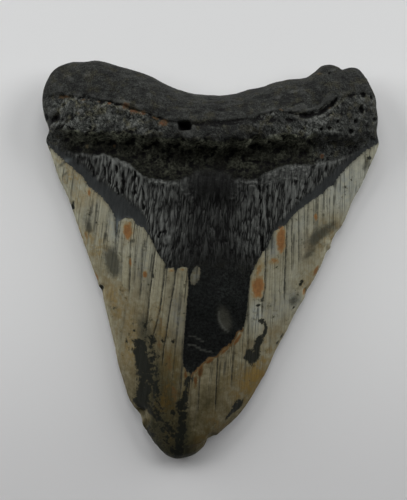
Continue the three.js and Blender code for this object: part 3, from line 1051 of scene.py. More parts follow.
@dataclass(frozen=True)
class Markings:
    """Rust, black stains and soft tints, where they lie on the inner face."""

    rust: tuple[Spot, ...] = spots(
        (-27, 9.6, 1.5, 2.9), (-21.4, -4.6, 0.75, 1.2), (-26.3, -0.7, 0.45, 1.7, 0, 0.8),
        (-39.9, 22.4, 0.6, 1.3, 0, 0.85), (22.9, 6.8, 1.6, 4.4, -3), (20.5, -0.3, 1.8, 1.3, 0, 0.66),
        (15.3, -8.6, 2.1, 3.7, -4), (15.7, -3.2, 0.9, 2.6, -4, 0.62), (34.4, 14.2, 0.6, 1.4, 0, 0.8),
        (34.8, -3.4, 0.7, 2, -28, 0.9), (30.9, -10.6, 0.6, 1.2, -28, 0.8), (-41, 8.2, 0.6, 1.8, 22, 0.62),
        (-37.8, -5.2, 0.5, 1.6, 20, 0.7), (-3.4, -36.4, 0.9, 2.4, -10, 0.9),
        (-0.4, -33, 0.6, 1.9, -52, 0.9), (4.3, -29.8, 0.5, 2.2, -48, 0.85), (8.6, -26, 0.6, 2.4, -34, 0.85),
        (-5, -39.5, 0.7, 2.4, 0, 0.8), (-11.9, -43.5, 1.1, 3.4, 4, 0.58), (-8.3, -37.4, 0.6, 1.8, 0, 0.8),
        (-13.6, -33.4, 1, 3.4, 8, 0.58), (-16.2, -20.8, 0.6, 2.2, 6, 0.55),
        (-16.6, -27.6, 1.1, 1.6, 0, 0.55), (-12.8, -3.4, 1.4, 0.5, 0, 0.62), (-9.4, -3, 1, 0.5, 0, 0.62),
    )
    root_rust: tuple[Spot, ...] = spots(
        (-48.1, 53.3, 1.8, 0.7, 0, 0.66), (-41.4, 52.2, 1.8, 0.5, 4, 0.6), (-36.5, 51.6, 0.7, 0.35, 0, 0.7),
        (-33, 51, 0.6, 0.5, 0, 0.8), (-27.8, 50, 1.5, 1.5, 0, 0.68), (-25.2, 48.3, 1.7, 1.1, -10, 0.7),
        (-22, 47.7, 1.5, 0.9, 0, 0.66), (-15.4, 44.4, 1.8, 1.3, 0, 0.72, 2.4),
        (-18, 46, 1.2, 0.45, -20, 0.75), (-43, 48, 0.5, 0.7, 0, 0.6), (22.9, 48.6, 0.9, 0.4, -15, 0.6),
        (35.6, 61, 1.3, 0.35, 0, 0.55), (-40.5, 37.3, 0.7, 0.8, 0, 0.6), (-31.6, 37.3, 0.5, 0.5, 0, 0.6),
        (36.4, 34, 0.8, 0.8, 0, 0.95), (-23.6, 44.9, 0.4, 0.4, 0, 0.6), (38.9, 49.6, 0.5, 0.4, 0, 0.6),
    )
    blots: tuple[Spot, ...] = spots(
        (13.5, -31.4, 2.3, 2.5, -35, 1.1), (8.7, -47.9, 1.3, 2.2, -38), (-36.4, -9.2, 0.8, 0.8),
        (-45.6, 18, 0.7, 1.7, -20, 0.95), (29.8, -7.2, 0.5, 1.4, -28, 0.8), (31.4, -10, 0.6, 0.8, 0, 0.9),
        (27.2, -15.6, 0.5, 0.5), (22, -27.4, 0.4, 0.8, -30, 0.8), (23.4, -25.2, 0.35, 0.6, -30, 0.8),
        (15.4, -14.8, 0.7, 0.4, 0, 0.8), (-25.3, -20.5, 0.5, 0.35, 0, 0.8), (-25, -23.1, 0.45, 0.5, 0, 0.8),
        (-27.6, -26.4, 0.5, 1, 20, 0.75), (-18.8, -5.4, 0.35, 0.6, 0, 0.8), (46.2, 26.4, 0.3, 0.5, 0, 0.7),
        (49.8, 21.8, 0.3, 0.6, -30, 0.6), (-37.6, 12.4, 0.3, 0.4, 0, 0.7), (52.6, 33.8, 0.8, 0.5, 0, 0.6),
        (-18.4, -49.2, 3.4, 4.6, 10, 0.56), (-19.8, -56.6, 1.6, 3, 30, 0.7), (-15, -56, 3, 6.4, 0, 0.52),
        (-12.4, -26.6, 0.8, 0.9, 0, 0.55), (-15.8, -26.4, 1, 0.7, 0, 0.55),
    )
    streaks: tuple[Streak, ...] = (
        Streak(((-21.6, -22), (-21.8, -25.5), (-22.2, -29)), 1.3, 0.6),
        Streak(((-22.8, -28), (-22.8, -31), (-22, -35), (-20.9, -39.6)), 2.3, 0.95),
        Streak(((-20.9, -38.6), (-21.9, -43), (-22.5, -47)), 2.6, 0.95),
        Streak(((-19.4, -26), (-18.4, -32), (-18.8, -39), (-17.4, -46)), 1.8, 0.6),
        Streak(((-7.7, -38.6), (-8.6, -45), (-9.4, -50.5)), 0.9, 0.62),
        Streak(((-9.2, -47.5), (-9.9, -57), (-10.6, -62), (-10.9, -66)), 1.9, 0.68),
        Streak(((16, -19.7), (17.4, -20.3), (18.1, -22.2), (17.3, -24.8)), 0.55, 1.1),
        Streak(((16, -26.2), (14.9, -28.4), (13.9, -30.6)), 1.2, 1.15),
        Streak(((8, -48.6), (6.4, -50.2), (5.2, -52.2)), 0.55, 0.75),
        Streak(((19.2, -2.8), (22.4, -2.2)), 0.3, 0.6),
        Streak(((-12.6, -50), (-13.4, -56), (-12.6, -63)), 1.3, 0.56),
    )
    smudges: tuple[Spot, ...] = spots(
        (-32.8, -0.2, 3.4, 6.6, 14, 0.8), (-31.8, -0.8, 2, 4.4, 14, 0.75), (37, 9.6, 6.8, 2.6, 32, 0.95),
        (34, 6.6, 3, 1.6, 40, 0.55), (32.4, 2.2, 3.6, 1.7, 42, 0.75), (51.2, 31.4, 1.5, 2.8, -15, 1.1),
        (27.4, -13.4, 2.2, 3, -20, 0.9), (-40.6, 13, 3, 4.4, 14, 0.6), (-46.4, 17.4, 1.4, 2.4, 20, 0.8),
        (30, -4.6, 1.8, 2.8, -20, 0.45), (-30.6, 10.2, 0.9, 3.6, 0, 0.9), (-19, -36, 3.2, 12, 4, 0.45),
        (-22, -22, 2.4, 6, 0, 0.85), (-22, -38, 4.6, 13, 0, 0.4), (-28, -23, 3.4, 4, 0, 0.34),
        (16.6, -12.6, 1.6, 2.6, 0, 0.4), (-5.4, -2.4, 2.6, 1.9, 0, 0.9), (-25.6, 6.4, 1.3, 1, 0, 0.9),
        (-21.6, 5.4, 0.8, 1.6, 0, 0.8), (-40, 10.4, 1, 1.6, 10, 0.8), (-34.4, 8.2, 0.8, 1.2, 0, 0.8),
        (-18.8, -4.6, 0.8, 1.6, 0, 0.7), (-12.6, -9, 1, 2.2, 0, 0.7), (-38.6, 19, 2.4, 3.2, 30, 0.35),
        (-48.8, 31.8, 0.8, 2.8, -55, 0.9), (-48, 28.4, 0.7, 2.6, -55, 0.75),
        (-46, 21.4, 1.6, 2.6, 30, 0.35), (24.6, -9.4, 1.6, 2.2, -20, 0.5),
    )
    warmth: tuple[Spot, ...] = spots(
        (-13.1, -38, 2.4, 9.4, 2), (15.2, -36.6, 4.6, 7, -24, 0.9), (-16.4, -48, 4, 6, 0, 0.7),
        (-14.2, -56, 2.2, 4, 0, 0.9), (2.6, -54, 4.4, 3, -40), (-3.6, -60, 2.6, 4, -30, 0.7),
        (16, -4, 1.8, 6, -8, 0.6), (-36.8, 25.4, 5.6, 7.6, 34, 0.3), (-31, -12, 5, 8, 10, 0.5),
        (-26.6, -28, 4.4, 10, 8, 0.45), (10, -43, 6, 6, -30, 0.55), (33.4, -6, 3.4, 4.6, -28, 0.7),
        (-48, 29, 4, 6, 30, 0.35), (-16.6, -20, 2.2, 8, 8, 0.5), (37, 8.6, 6.4, 4.4, 32, 0.75),
        (19.8, -26, 4, 8, -28, 0.35), (-37.4, 4.4, 3.6, 4.4, 14, 0.8), (-41.6, 8.4, 1.8, 3.4, 20, 0.8),
        (-44, 24, 4, 8, 26, 0.35), (-7.4, -40, 3, 6, 0, 0.35), (-27, 8, 3, 6, 0, 0.35),
        (4.5, -10, 5, 7, 0, 0.7),
    )
    # Blue-grey tints of the enamel; the last spot, on the spear's scar, sets where painted light falls on
    # it.
    coolness: tuple[Spot, ...] = spots(
        (44, 24, 8, 9, -40, 0.75), (22, -16, 5, 8, -20, 0.5), (-31.4, 10, 2.6, 6, 0, 0.9),
        (14.6, -18, 2.4, 5, 0, 0.85), (20, 4.4, 2.2, 3.4, 0, 0.9), (-22, 0, 4, 9, 6, 0.5),
        (-11, -18, 2.6, 9, 4, 0.5), (28, -13, 3, 3, 0, 0.6), (-38.6, 16, 4, 6, 24, 0.4),
        (-4.8, -5, 2.2, 4.4, 0, 0.5), (29, 9, 4, 8, 0, 0.55), (4.5, -19.2, 2.3, 4.6, 16),
    )
    # The enamel's darkness along its length, rising towards the tip: in part painted shade of the crown's
    # lower part, which slopes away from the light.
    tip_darkening: Points = (
        (-66, 0.98), (-60, 0.86), (-50, 0.68), (-40, 0.64), (-30, 0.54), (-20, 0.46), (-8, 0.41),
        (15, 0.36), (40, 0.33),
    )
    # Listed clouds that darken the enamel, and with a strength below 0 make it paler.
    enamel_darkness: tuple[Spot, ...] = spots(
        (-16, -46, 8, 10, 0, 0.15), (-19, -30, 4, 9, 0, 0.16), (-20, -56, 6, 8, 0, 0.12),
        (-30, -14, 6, 8, 0, 0.07), (-42, 9, 3, 4, 10, 0.1), (-23, -2, 9, 12, 0, -0.04),
        (46, 26, 10, 12, -35, -0.15), (37, 9.5, 6.5, 3.5, 32, 0.18), (32, 2, 4, 2.4, 42, 0.12),
        (14, -18, 2.6, 6, 0, -0.18), (15, -37, 6, 7, -30, 0.05), (34, -4, 3, 5, -28, 0.08),
        (-12, -30, 3, 8, 0, 0.1), (-47, 30, 5, 6, 20, 0.02), (-25, -9, 5, 6, 0, 0.12),
        (-12, -15, 2.4, 7, 0, 0.11), (-13, -38, 3, 8, 2, 0.12), (-28, -22, 5, 6, 0, 0.08),
        (-5, -5, 3, 4, 0, 0.32), (-20, -42, 5, 9, 0, 0.12), (-17, -57, 4, 5, 0, 0.2),
        (-16, -45, 5, 8, 0, 0.1), (-10, -58, 3, 9, 0, 0.16), (-22.4, -52.2, 1.8, 2.8, -12, -0.42),
        (-38, -1, 3, 7, 14, 0.08), (-36, 24, 3, 4, 30, 0.05), (-20, -10, 12, 13, 0, 0.07),
        (-16, -60, 6, 7, 0, 0.1), (-4, -57, 3, 4, 0, -0.08),
    )
    pale: tuple[Spot, ...] = spots(
        (-3.6, -36, 3.4, 1.2, 46), (0.4, -32.4, 2.6, 1.2, 36), (4.6, -29, 3, 1.2, 38),
        (8.6, -24.6, 2.6, 1.2, 52),
    )
    scratches: tuple[Streak, ...] = (
        Streak(((-8, -24.9), (-5.6, -25), (-2.6, -26.6)), 0.45, 0.62),
        Streak(((-7.6, -27.6), (-5.2, -28), (-3, -29.4), (0.6, -30.3)), 0.45, 0.7),
        Streak(((2.6, -17), (2.6, -19.4), (4, -22), (5.6, -23.2)), 0.5, 0.62),
    )

    def masks(self, sheet: Sheet) -> tuple[Array, Array]:
        """The marks at each point, as two stacks of three.

        Args:
            sheet: The face.

        Returns:
            Rust, black stain and soft smudge, and then warmth, coolness and pale scratches.
        """
        x, y = sheet.mark_place
        rust = spot_mask(x, y, self.rust)
        blots = np.maximum(spot_mask(x, y, self.blots), streak_mask(x, y, self.streaks))
        if sheet.side is Side.INNER:
            rust = np.maximum(rust, spot_mask(x, y, self.root_rust))
        smudge = cloud_sum(x, y, self.smudges)
        warm = cloud_sum(x, y, self.warmth)
        cool = cloud_sum(x, y, self.coolness)
        pale = np.maximum(spot_mask(x, y, self.pale), streak_mask(x, y, self.scratches))
        return np.stack([rust, blots, smudge], -1), np.stack([warm, cool, pale], -1)

    def enamel_darkness_of(self, sheet: Sheet) -> Array:
        """How dark the enamel is, 0 palest to 1 darkest of its colours: in part painted shade near the tip.
        """
        x, y = sheet.mark_place
        return along(self.tip_darkening, y) + cloud_sum(x, y, self.enamel_darkness)


# ---- the finish ----


class Value:
    """A number or a colour at every point of a surface, which sums as plain numbers do."""

    def __init__(self, recipe: "Recipe", socket: Socket) -> None:
        """Keeps a node's output, and the recipe that its sums go into."""
        self.recipe = recipe
        self.socket = socket

    def math(self, operation: str, other: "Value | float" = 0.0) -> "Value":
        """One sum with another number, such as ADD or MULTIPLY."""
        return self.recipe.node("ShaderNodeMath", {0: self, 1: other}, operation=operation)

    def __add__(self, other: "Value | float") -> "Value":
        """The sum."""
        return self.math("ADD", other)

    def __sub__(self, other: "Value | float") -> "Value":
        """The difference."""
        return self.math("SUBTRACT", other)

    def __mul__(self, other: "Value | float") -> "Value":
        """The product."""
        return self.math("MULTIPLY", other)

    __radd__ = __add__

    def __abs__(self) -> "Value":
        """The number without its sign."""
        return self.math("ABSOLUTE")

    def step(self, low: float, high: float, start: float = 0.0, end: float = 1.0) -> "Value":
        """A smooth step from start at low to end at high. Low may be the greater of the two."""
        if low > high:
            low, high, start, end = high, low, end, start
        inputs = {0: self, 1: low, 2: high, 3: start, 4: end}
        return self.recipe.node("ShaderNodeMapRange", inputs, interpolation_type="SMOOTHSTEP")


Paint = Value | Colour


@dataclass(frozen=True)
class Noise:
    """A noise texture: its lumps to a millimetre, detail, roughness and scale each way."""

    scale: float
    detail: float = 2.0
    roughness: float = 0.5
    stretch: Place | None = None


class Recipe:
    """A material's nodes, written as sums: each method adds nodes and hands on an output."""

    def __init__(self, name: str) -> None:
        """Starts an empty material of that name."""
        self.material = bpy.data.materials.new(name)
        self.material.use_nodes = True
        self.tree = self.material.node_tree
        self.tree.nodes.clear()

    def add(self, kind: str, inputs: dict[int | str, "Paint | float"], **settings: object) -> bpy.types.Node:
        """Adds a node, sets its settings, and links or sets its inputs.

        Args:
            kind: The node's type name.
            inputs: Values, numbers or colours, by input name or number.
            settings: The node's own properties.

        Returns:
            The node.
        """
        made = self.tree.nodes.new(kind)
        for name, setting in settings.items():
            setattr(made, name, setting)
        for name, value in inputs.items():
            if isinstance(value, Value):
                self.tree.links.new(value.socket, made.inputs[name])
            elif isinstance(value, tuple) and made.inputs[name].type == "RGBA":
                made.inputs[name].default_value = (*value, 1.0)
            else:
                made.inputs[name].default_value = value
        return made

    def node(
        self, kind: str, inputs: dict[int | str, "Paint | float"], output: int | str = 0, **settings: object
    ) -> Value:
        """Adds a node as above, and hands on one of its outputs."""
        return Value(self, self.add(kind, inputs, **settings).outputs[output])

    def mix(self, share: Value, low: Paint, high: Paint) -> Value:
        """A mix of two colours."""
        return self.node("ShaderNodeMix", {0: share, 6: low, 7: high}, 2, data_type="RGBA")

    def mix_number(self, share: Value, low: Value, high: Value) -> Value:
        """A mix of two numbers."""
        return self.node("ShaderNodeMix", {0: share, 2: low, 3: high}, data_type="FLOAT")

    def shade(self, colour: Paint, amount: Value) -> Value:
        """A colour made lighter or darker by a number."""
        return self.node("ShaderNodeVectorMath", {0: colour, "Scale": amount}, operation="SCALE")

    def split(self, vector: Value) -> tuple[Value, ...]:
        """The three numbers of a vector."""
        return tuple(Value(self, part) for part in self.add("ShaderNodeSeparateXYZ", {0: vector}).outputs)

    def attribute(self, name: str) -> Value:
        """One of the mesh's attributes, as a vector."""
        return self.node("ShaderNodeAttribute", {}, "Vector", attribute_name=name)

    def stretched(self, place: Value, scale: Place) -> Value:
        """Coordinates multiplied by a scale for each axis, for a pattern longer one way."""
        return self.node("ShaderNodeMapping", {"Vector": place, "Scale": scale})

    def ramp(self, share: Value, colours: tuple[Colour, ...]) -> Value:
        """One of a run of evenly spaced colours, or a mix of two neighbours, for a number of 0 to 1."""
        made = self.add("ShaderNodeValToRGB", {0: share})
        stops = made.color_ramp.elements
        for _ in colours[2:]:
            stops.new(1.0)
        for i, colour in enumerate(colours):
            stops[i].position = i / (len(colours) - 1)
            stops[i].color = (*colour, 1.0)
        return Value(self, made.outputs[0])

    def cells(self, place: Value, scale: float) -> Value:
        """The distance to the nearest of scattered points, in cells."""
        return self.node("ShaderNodeTexVoronoi", {"Vector": place, "Scale": scale}, "Distance")

    def finish(self, shader: Value) -> bpy.types.Material:
        """Ends the recipe with its shader and hands on the material."""
        self.add("ShaderNodeOutputMaterial", {0: shader})
        return self.material


@dataclass(frozen=True)
class SharedNoise:
    """The noise that more than one of the tooth's dark parts shows."""

    cloud: Noise = Noise(0.24, 5.0, 0.6)
    fine: Noise = Noise(1.2, 5.0, 0.7)
    lumps: Noise = Noise(0.9, 3.0, 0.6)
    slanted: Noise = Noise(0.85, 3.0, 0.6)
    slant: Place = (0.0, 0.0, 0.62)
    slant_scale: Place = (1.0, 2.8, 1.0)
    strands: Noise = Noise(1.2, 3.0, 0.6, (1.0, 0.17, 0.4))
    folds: Noise = Noise(0.78, 2.0, 0.5, (1.0, 0.15, 0.4))
    layers: Noise = Noise(0.75, 5.0, 0.65, (0.4, 1.0, 1.0))


class ToothRecipe(Recipe):
    """The tooth's material, with what its parts read at each point: places, attributes and noise.

    Places are millimetres. Each attribute is a vector of three numbers, named for what they say.
    """

    def __init__(self, name: str, shared: SharedNoise) -> None:
        """Adds the nodes that more than one part of the finish reads."""
        super().__init__(name)
        self.place = self.stretched(self.node("ShaderNodeTexCoord", {}, "Object"), (1.0 / MM,) * 3)
        self.across = self.split(self.place)[0]
        self.grain = self.attribute("grain")
        self.depth, self.cavity, self.gain = self.split(self.attribute("skin"))
        self.root_top, self.band, self.hollow = self.split(self.attribute("upper"))
        self.collar, self.strip, self.spear = self.split(self.attribute("lower"))
        self.wrinkled, self.dome, self.plateau = self.split(self.attribute("zones"))
        self.above_split, self.below_neck, self.enamel_darkness = self.split(self.attribute("lines"))
        self.crack_number, self.crack_gap, self.crack_strength = self.split(self.attribute("crack"))
        self.rust, self.black, self.smudge = self.split(self.attribute("marks"))
        self.warm, self.cool, self.pale = self.split(self.attribute("tone"))
        self.on_root = self.root_top + self.band
        self.cloud = self.noise(shared.cloud)
        self.fine = self.noise(shared.fine)
        self.lumps = self.centred(shared.lumps)
        self.layers = self.noise(shared.layers)
        turned = {"Vector": self.place, "Rotation": shared.slant, "Scale": shared.slant_scale}
        slope = self.node("ShaderNodeMapping", turned, vector_type="TEXTURE")
        self.slanted = self.centred(shared.slanted, slope)
        self.worms = abs(self.slanted).step(0.075, 0.0)
        self.strands = self.centred(shared.strands, self.grain)
        self.folds = abs(self.centred(shared.folds, self.grain))
        self.ragged_strip = (self.strip + self.lumps * 0.7).step(0.2, 0.9)

    def noise(self, noise: Noise, place: Value | None = None) -> Value:
        """A noise texture, 0 to 1, in millimetres or at another place that is given."""
        at = place or self.place
        if noise.stretch:
            at = self.stretched(at, noise.stretch)
        inputs = {"Vector": at, "Scale": noise.scale, "Detail": noise.detail, "Roughness": noise.roughness}
        return self.node("ShaderNodeTexNoise", inputs)

    def centred(self, noise: Noise, place: Value | None = None) -> Value:
        """The same, less its middle value of a half."""
        return self.noise(noise, place) - 0.5


@dataclass(frozen=True)
class DarkFinish:
    """The colours and relief of the parts without enamel: dark phosphate root and dentine, with painted
    highlights and shade on their relief.
    """

    root_dark: Colour = (0.006, 0.0065, 0.006)
    root_light: Colour = (0.022, 0.0235, 0.021)
    earth: Colour = (0.021, 0.02, 0.012)
    # Painted highlight: the pale colour laid where light catches raised relief, along the neck's crest and
    # as specks; on crests it stands in part for their paler wear.
    crest: Colour = (0.15, 0.156, 0.146)
    # Near black: the split's crack, and painted shade in creases and low places.
    crack_and_groove_shade: Colour = (0.003, 0.003, 0.003)
    hollow: Colour = (0.016, 0.0168, 0.012)
    collar: Colour = (0.04, 0.042, 0.039)
    strip: Colour = (0.028, 0.0305, 0.0305)
    spear: Colour = (0.0037, 0.0043, 0.0039)
    # Painted light on the lit side of the spear's scooped scar.
    facet_painted_light: Colour = (0.04, 0.04, 0.031)
    scratch: Colour = (0.095, 0.098, 0.085)
    cleft: Colour = (0.13, 0.15, 0.155)
    earth_patches: Noise = Noise(0.35, 3.0)
    grit: Noise = Noise(2.4, 3.0, 0.7)
    specks: Noise = Noise(2.0, 2.0, 0.7)
    moss: Noise = Noise(1.4, 2.0, 0.6)
    # Where the painted highlight along the neck's crest starts, is full, is last full and ends, from left to
    # right.
    neck_left: tuple[float, ...] = (-38.0, -34.0, -20.0, -12.0)
    neck_right: tuple[float, ...] = (12.0, 17.0, 30.0, 36.0)

    def colour(self, paint: ToothRecipe) -> Value:
        """The colour of every dark part, laid on in order from the root down to the spear."""
        colour = paint.mix(paint.hollow, self.root_colour(paint), self.hollow_colour(paint))
        colour = paint.mix(paint.collar, colour, self.collar_colour(paint))
        colour = self.with_relief_tones(paint, colour)
        colour = self.with_edges(paint, colour)
        smooth_strip = paint.shade(self.strip, paint.strands.step(-0.2, 0.2, 0.78, 1.2))
        colour = paint.mix(paint.ragged_strip, colour, smooth_strip)
        colour = paint.mix(paint.spear, colour, self.spear_colour(paint))
        return self.with_specks(paint, colour)

    def root_colour(self, paint: ToothRecipe) -> Value:
        """The root: faint layers with earth in patches, gritty, and paler in its rough band; the grit is
        partly painted glints.
        """
        layered = (paint.cloud * 0.5 + paint.layers * 0.5).step(0.38, 0.62)
        colour = paint.mix(layered, self.root_dark, self.root_light)
        patches = paint.noise(self.earth_patches).step(0.5, 0.66, 0.0, 0.7)
        colour = paint.mix(patches, colour, self.earth)
        # A speckle of grain and grit: partly the root's own grain and partly painted glints on its dark
        # surface.
        grit = paint.noise(self.grit).step(0.36, 0.66, 0.5, 1.6)
        colour = paint.shade(colour, paint.fine.step(0.32, 0.7, 0.6, 1.4) * grit)
        return paint.shade(colour, 1.0 + paint.band * (paint.gain * 2.9 - 0.5))

    def hollow_colour(self, paint: ToothRecipe) -> Value:
        """The hollow: grainy, with painted light on the wall under the ledge against its shadow, and painted
        shade darkening it towards the neck.
        """
        # The gain pales the wall under the ledge as painted light; the last step is painted shade towards
        # the neck.
        grainy = paint.fine.step(0.36, 0.66, 0.3, 2.3) * (1.05 + paint.gain * 2.9)
        clouded = grainy * paint.cloud.step(0.38, 0.6, 0.5, 1.5)
        return paint.shade(self.hollow, clouded * paint.below_neck.step(-5.0, -0.5, 1.0, 0.35))

    def collar_colour(self, paint: ToothRecipe) -> Value:
        """The collar: painted highlights on its raised strands, painted shade in the folds of its wrinkles,
        and a darker dome.
        """
        # Painted shade in the folds and painted highlight on the strands, where the bump lies low and where
        # it stands up.
        folded = 1.0 + (paint.folds.step(0.01, 0.07, 0.18, 1.25) - 1.0) * paint.wrinkled
        stranded = paint.strands.step(-0.13, 0.15, 0.45, 1.6) * folded * (1.0 + paint.dome * -0.3)
        stranded *= 1.0 + paint.plateau * paint.across.step(8.0, -8.0, -0.28, 0.5)
        return paint.shade(self.collar, stranded * (paint.gain * 1.45 + 0.1))

    def with_relief_tones(self, paint: ToothRecipe, colour: Value) -> Value:
        """Paints highlights on what stands up, and shade in what lies low and in the band's narrow creases.

        Args:
            paint: The material.
            colour: The colour so far.

        Returns:
            The colour with its crests and grooves.
        """
        textured = paint.slanted * 0.50 * paint.band + (paint.folds - 0.07) * 0.8 * paint.collar
        raised = paint.cavity + textured + (paint.fine - 0.5) * 0.30
        # How strong the painted highlight on crests is in each region, in part also their wear.
        worn = paint.root_top * 0.15 + paint.band * 0.6 + paint.collar * 0.72 + 0.04
        colour = paint.mix(raised.step(0.02, 0.28) * paint.gain * worn, colour, self.crest)
        # Painted shade in the band's narrow worm-like creases and in every low place.
        colour = paint.mix(paint.worms * paint.band * 0.45, colour, self.crack_and_groove_shade)
        return paint.mix(raised.step(-0.04, -0.26), colour, self.crack_and_groove_shade)

    def with_edges(self, paint: ToothRecipe, colour: Value) -> Value:
        """Draws the dark split above the band and a painted highlight along the neck's crest.

        Args:
            paint: The material.
            colour: The colour so far.

        Returns:
            The colour with both lines.
        """
        split = abs(paint.above_split + paint.lumps * 1.1).step(0.26, 0.06) * paint.cloud.step(0.44, 0.54)
        colour = paint.mix(split * paint.on_root * 0.6, colour, self.crack_and_groove_shade)
        left, right = (
            paint.across.step(start, full) * paint.across.step(end, still_full)
            for start, full, still_full, end in (self.neck_left, self.neck_right)
        )
        # Painted highlight along the neck's crest, where light catches its edge.
        crisp = left + right * 0.6 + 0.10 + paint.dome * 0.5
        lip = abs(paint.below_neck + paint.lumps * 0.9).step(0.3, 0.06) * paint.gain * crisp
        lip = lip * paint.cloud.step(0.38, 0.5) * 0.5 * paint.depth.step(0.0, -0.5)
        return paint.mix(lip, colour, self.crest)

    def spear_colour(self, paint: ToothRecipe) -> Value:
        """The bare spear: near black and grainy, with painted light on the lit side of its scooped scar."""
        grainy = paint.fine.step(0.36, 0.66, 0.35, 2.6) * (1.0 + paint.warm * 1.1)
        facet_painted_light = paint.cool.step(0.15, 0.85, 0.0, 0.9)
        return paint.mix(facet_painted_light, paint.shade(self.spear, grainy), self.facet_painted_light)

    def with_specks(self, paint: ToothRecipe, colour: Value) -> Value:
        """Scatters painted glints as pale specks, moss in the hollow, scratches on the spear and the strip's
        cleft.

        Args:
            paint: The material.
            colour: The colour so far.

        Returns:
            The finished colour.
        """
        # Painted glints: pale specks on the root and collar.
        specks = paint.noise(self.specks).step(0.665, 0.73)
        specks *= paint.on_root * 0.4 + paint.collar * 0.2
        colour = paint.mix(specks, colour, self.crest)
        moss = paint.noise(self.moss).step(0.62, 0.7) * paint.hollow * 0.75
        colour = paint.mix(moss, colour, self.earth)
        scratched = (paint.pale + paint.lumps * 0.6).step(0.2, 0.7, 0.0, 0.45)
        scratched = scratched * paint.depth.step(-0.9, -1.8) * paint.spear
        colour = paint.mix(scratched, colour, self.scratch)
        return paint.mix(paint.smudge * paint.ragged_strip * 0.8, colour, self.cleft)

    def roughness(self, paint: ToothRecipe) -> Value:
        """Dull all over, but smoother on the strip and collar and duller in the hollow."""
        return 0.66 + paint.strip * -0.22 + paint.collar * -0.10 + paint.hollow * 0.2

    def bump(self, paint: ToothRecipe) -> Value:
        """The finest relief, in millimetres: grain, layers, lumps, and the collar's strands and folds."""
        return (
            paint.fine * (0.30 + paint.ragged_strip * -0.20 + paint.hollow * 0.25)
            + paint.layers * paint.root_top * 0.35
            + paint.slanted * paint.band * 0.80
            + paint.lumps * paint.hollow * 0.60
            + paint.worms * paint.band * -0.10
            + paint.strands * paint.collar * 0.35
            + paint.folds.step(0.0, 0.09) * paint.collar * paint.wrinkled * 0.24
            + paint.lumps * paint.plateau * 0.5
        )


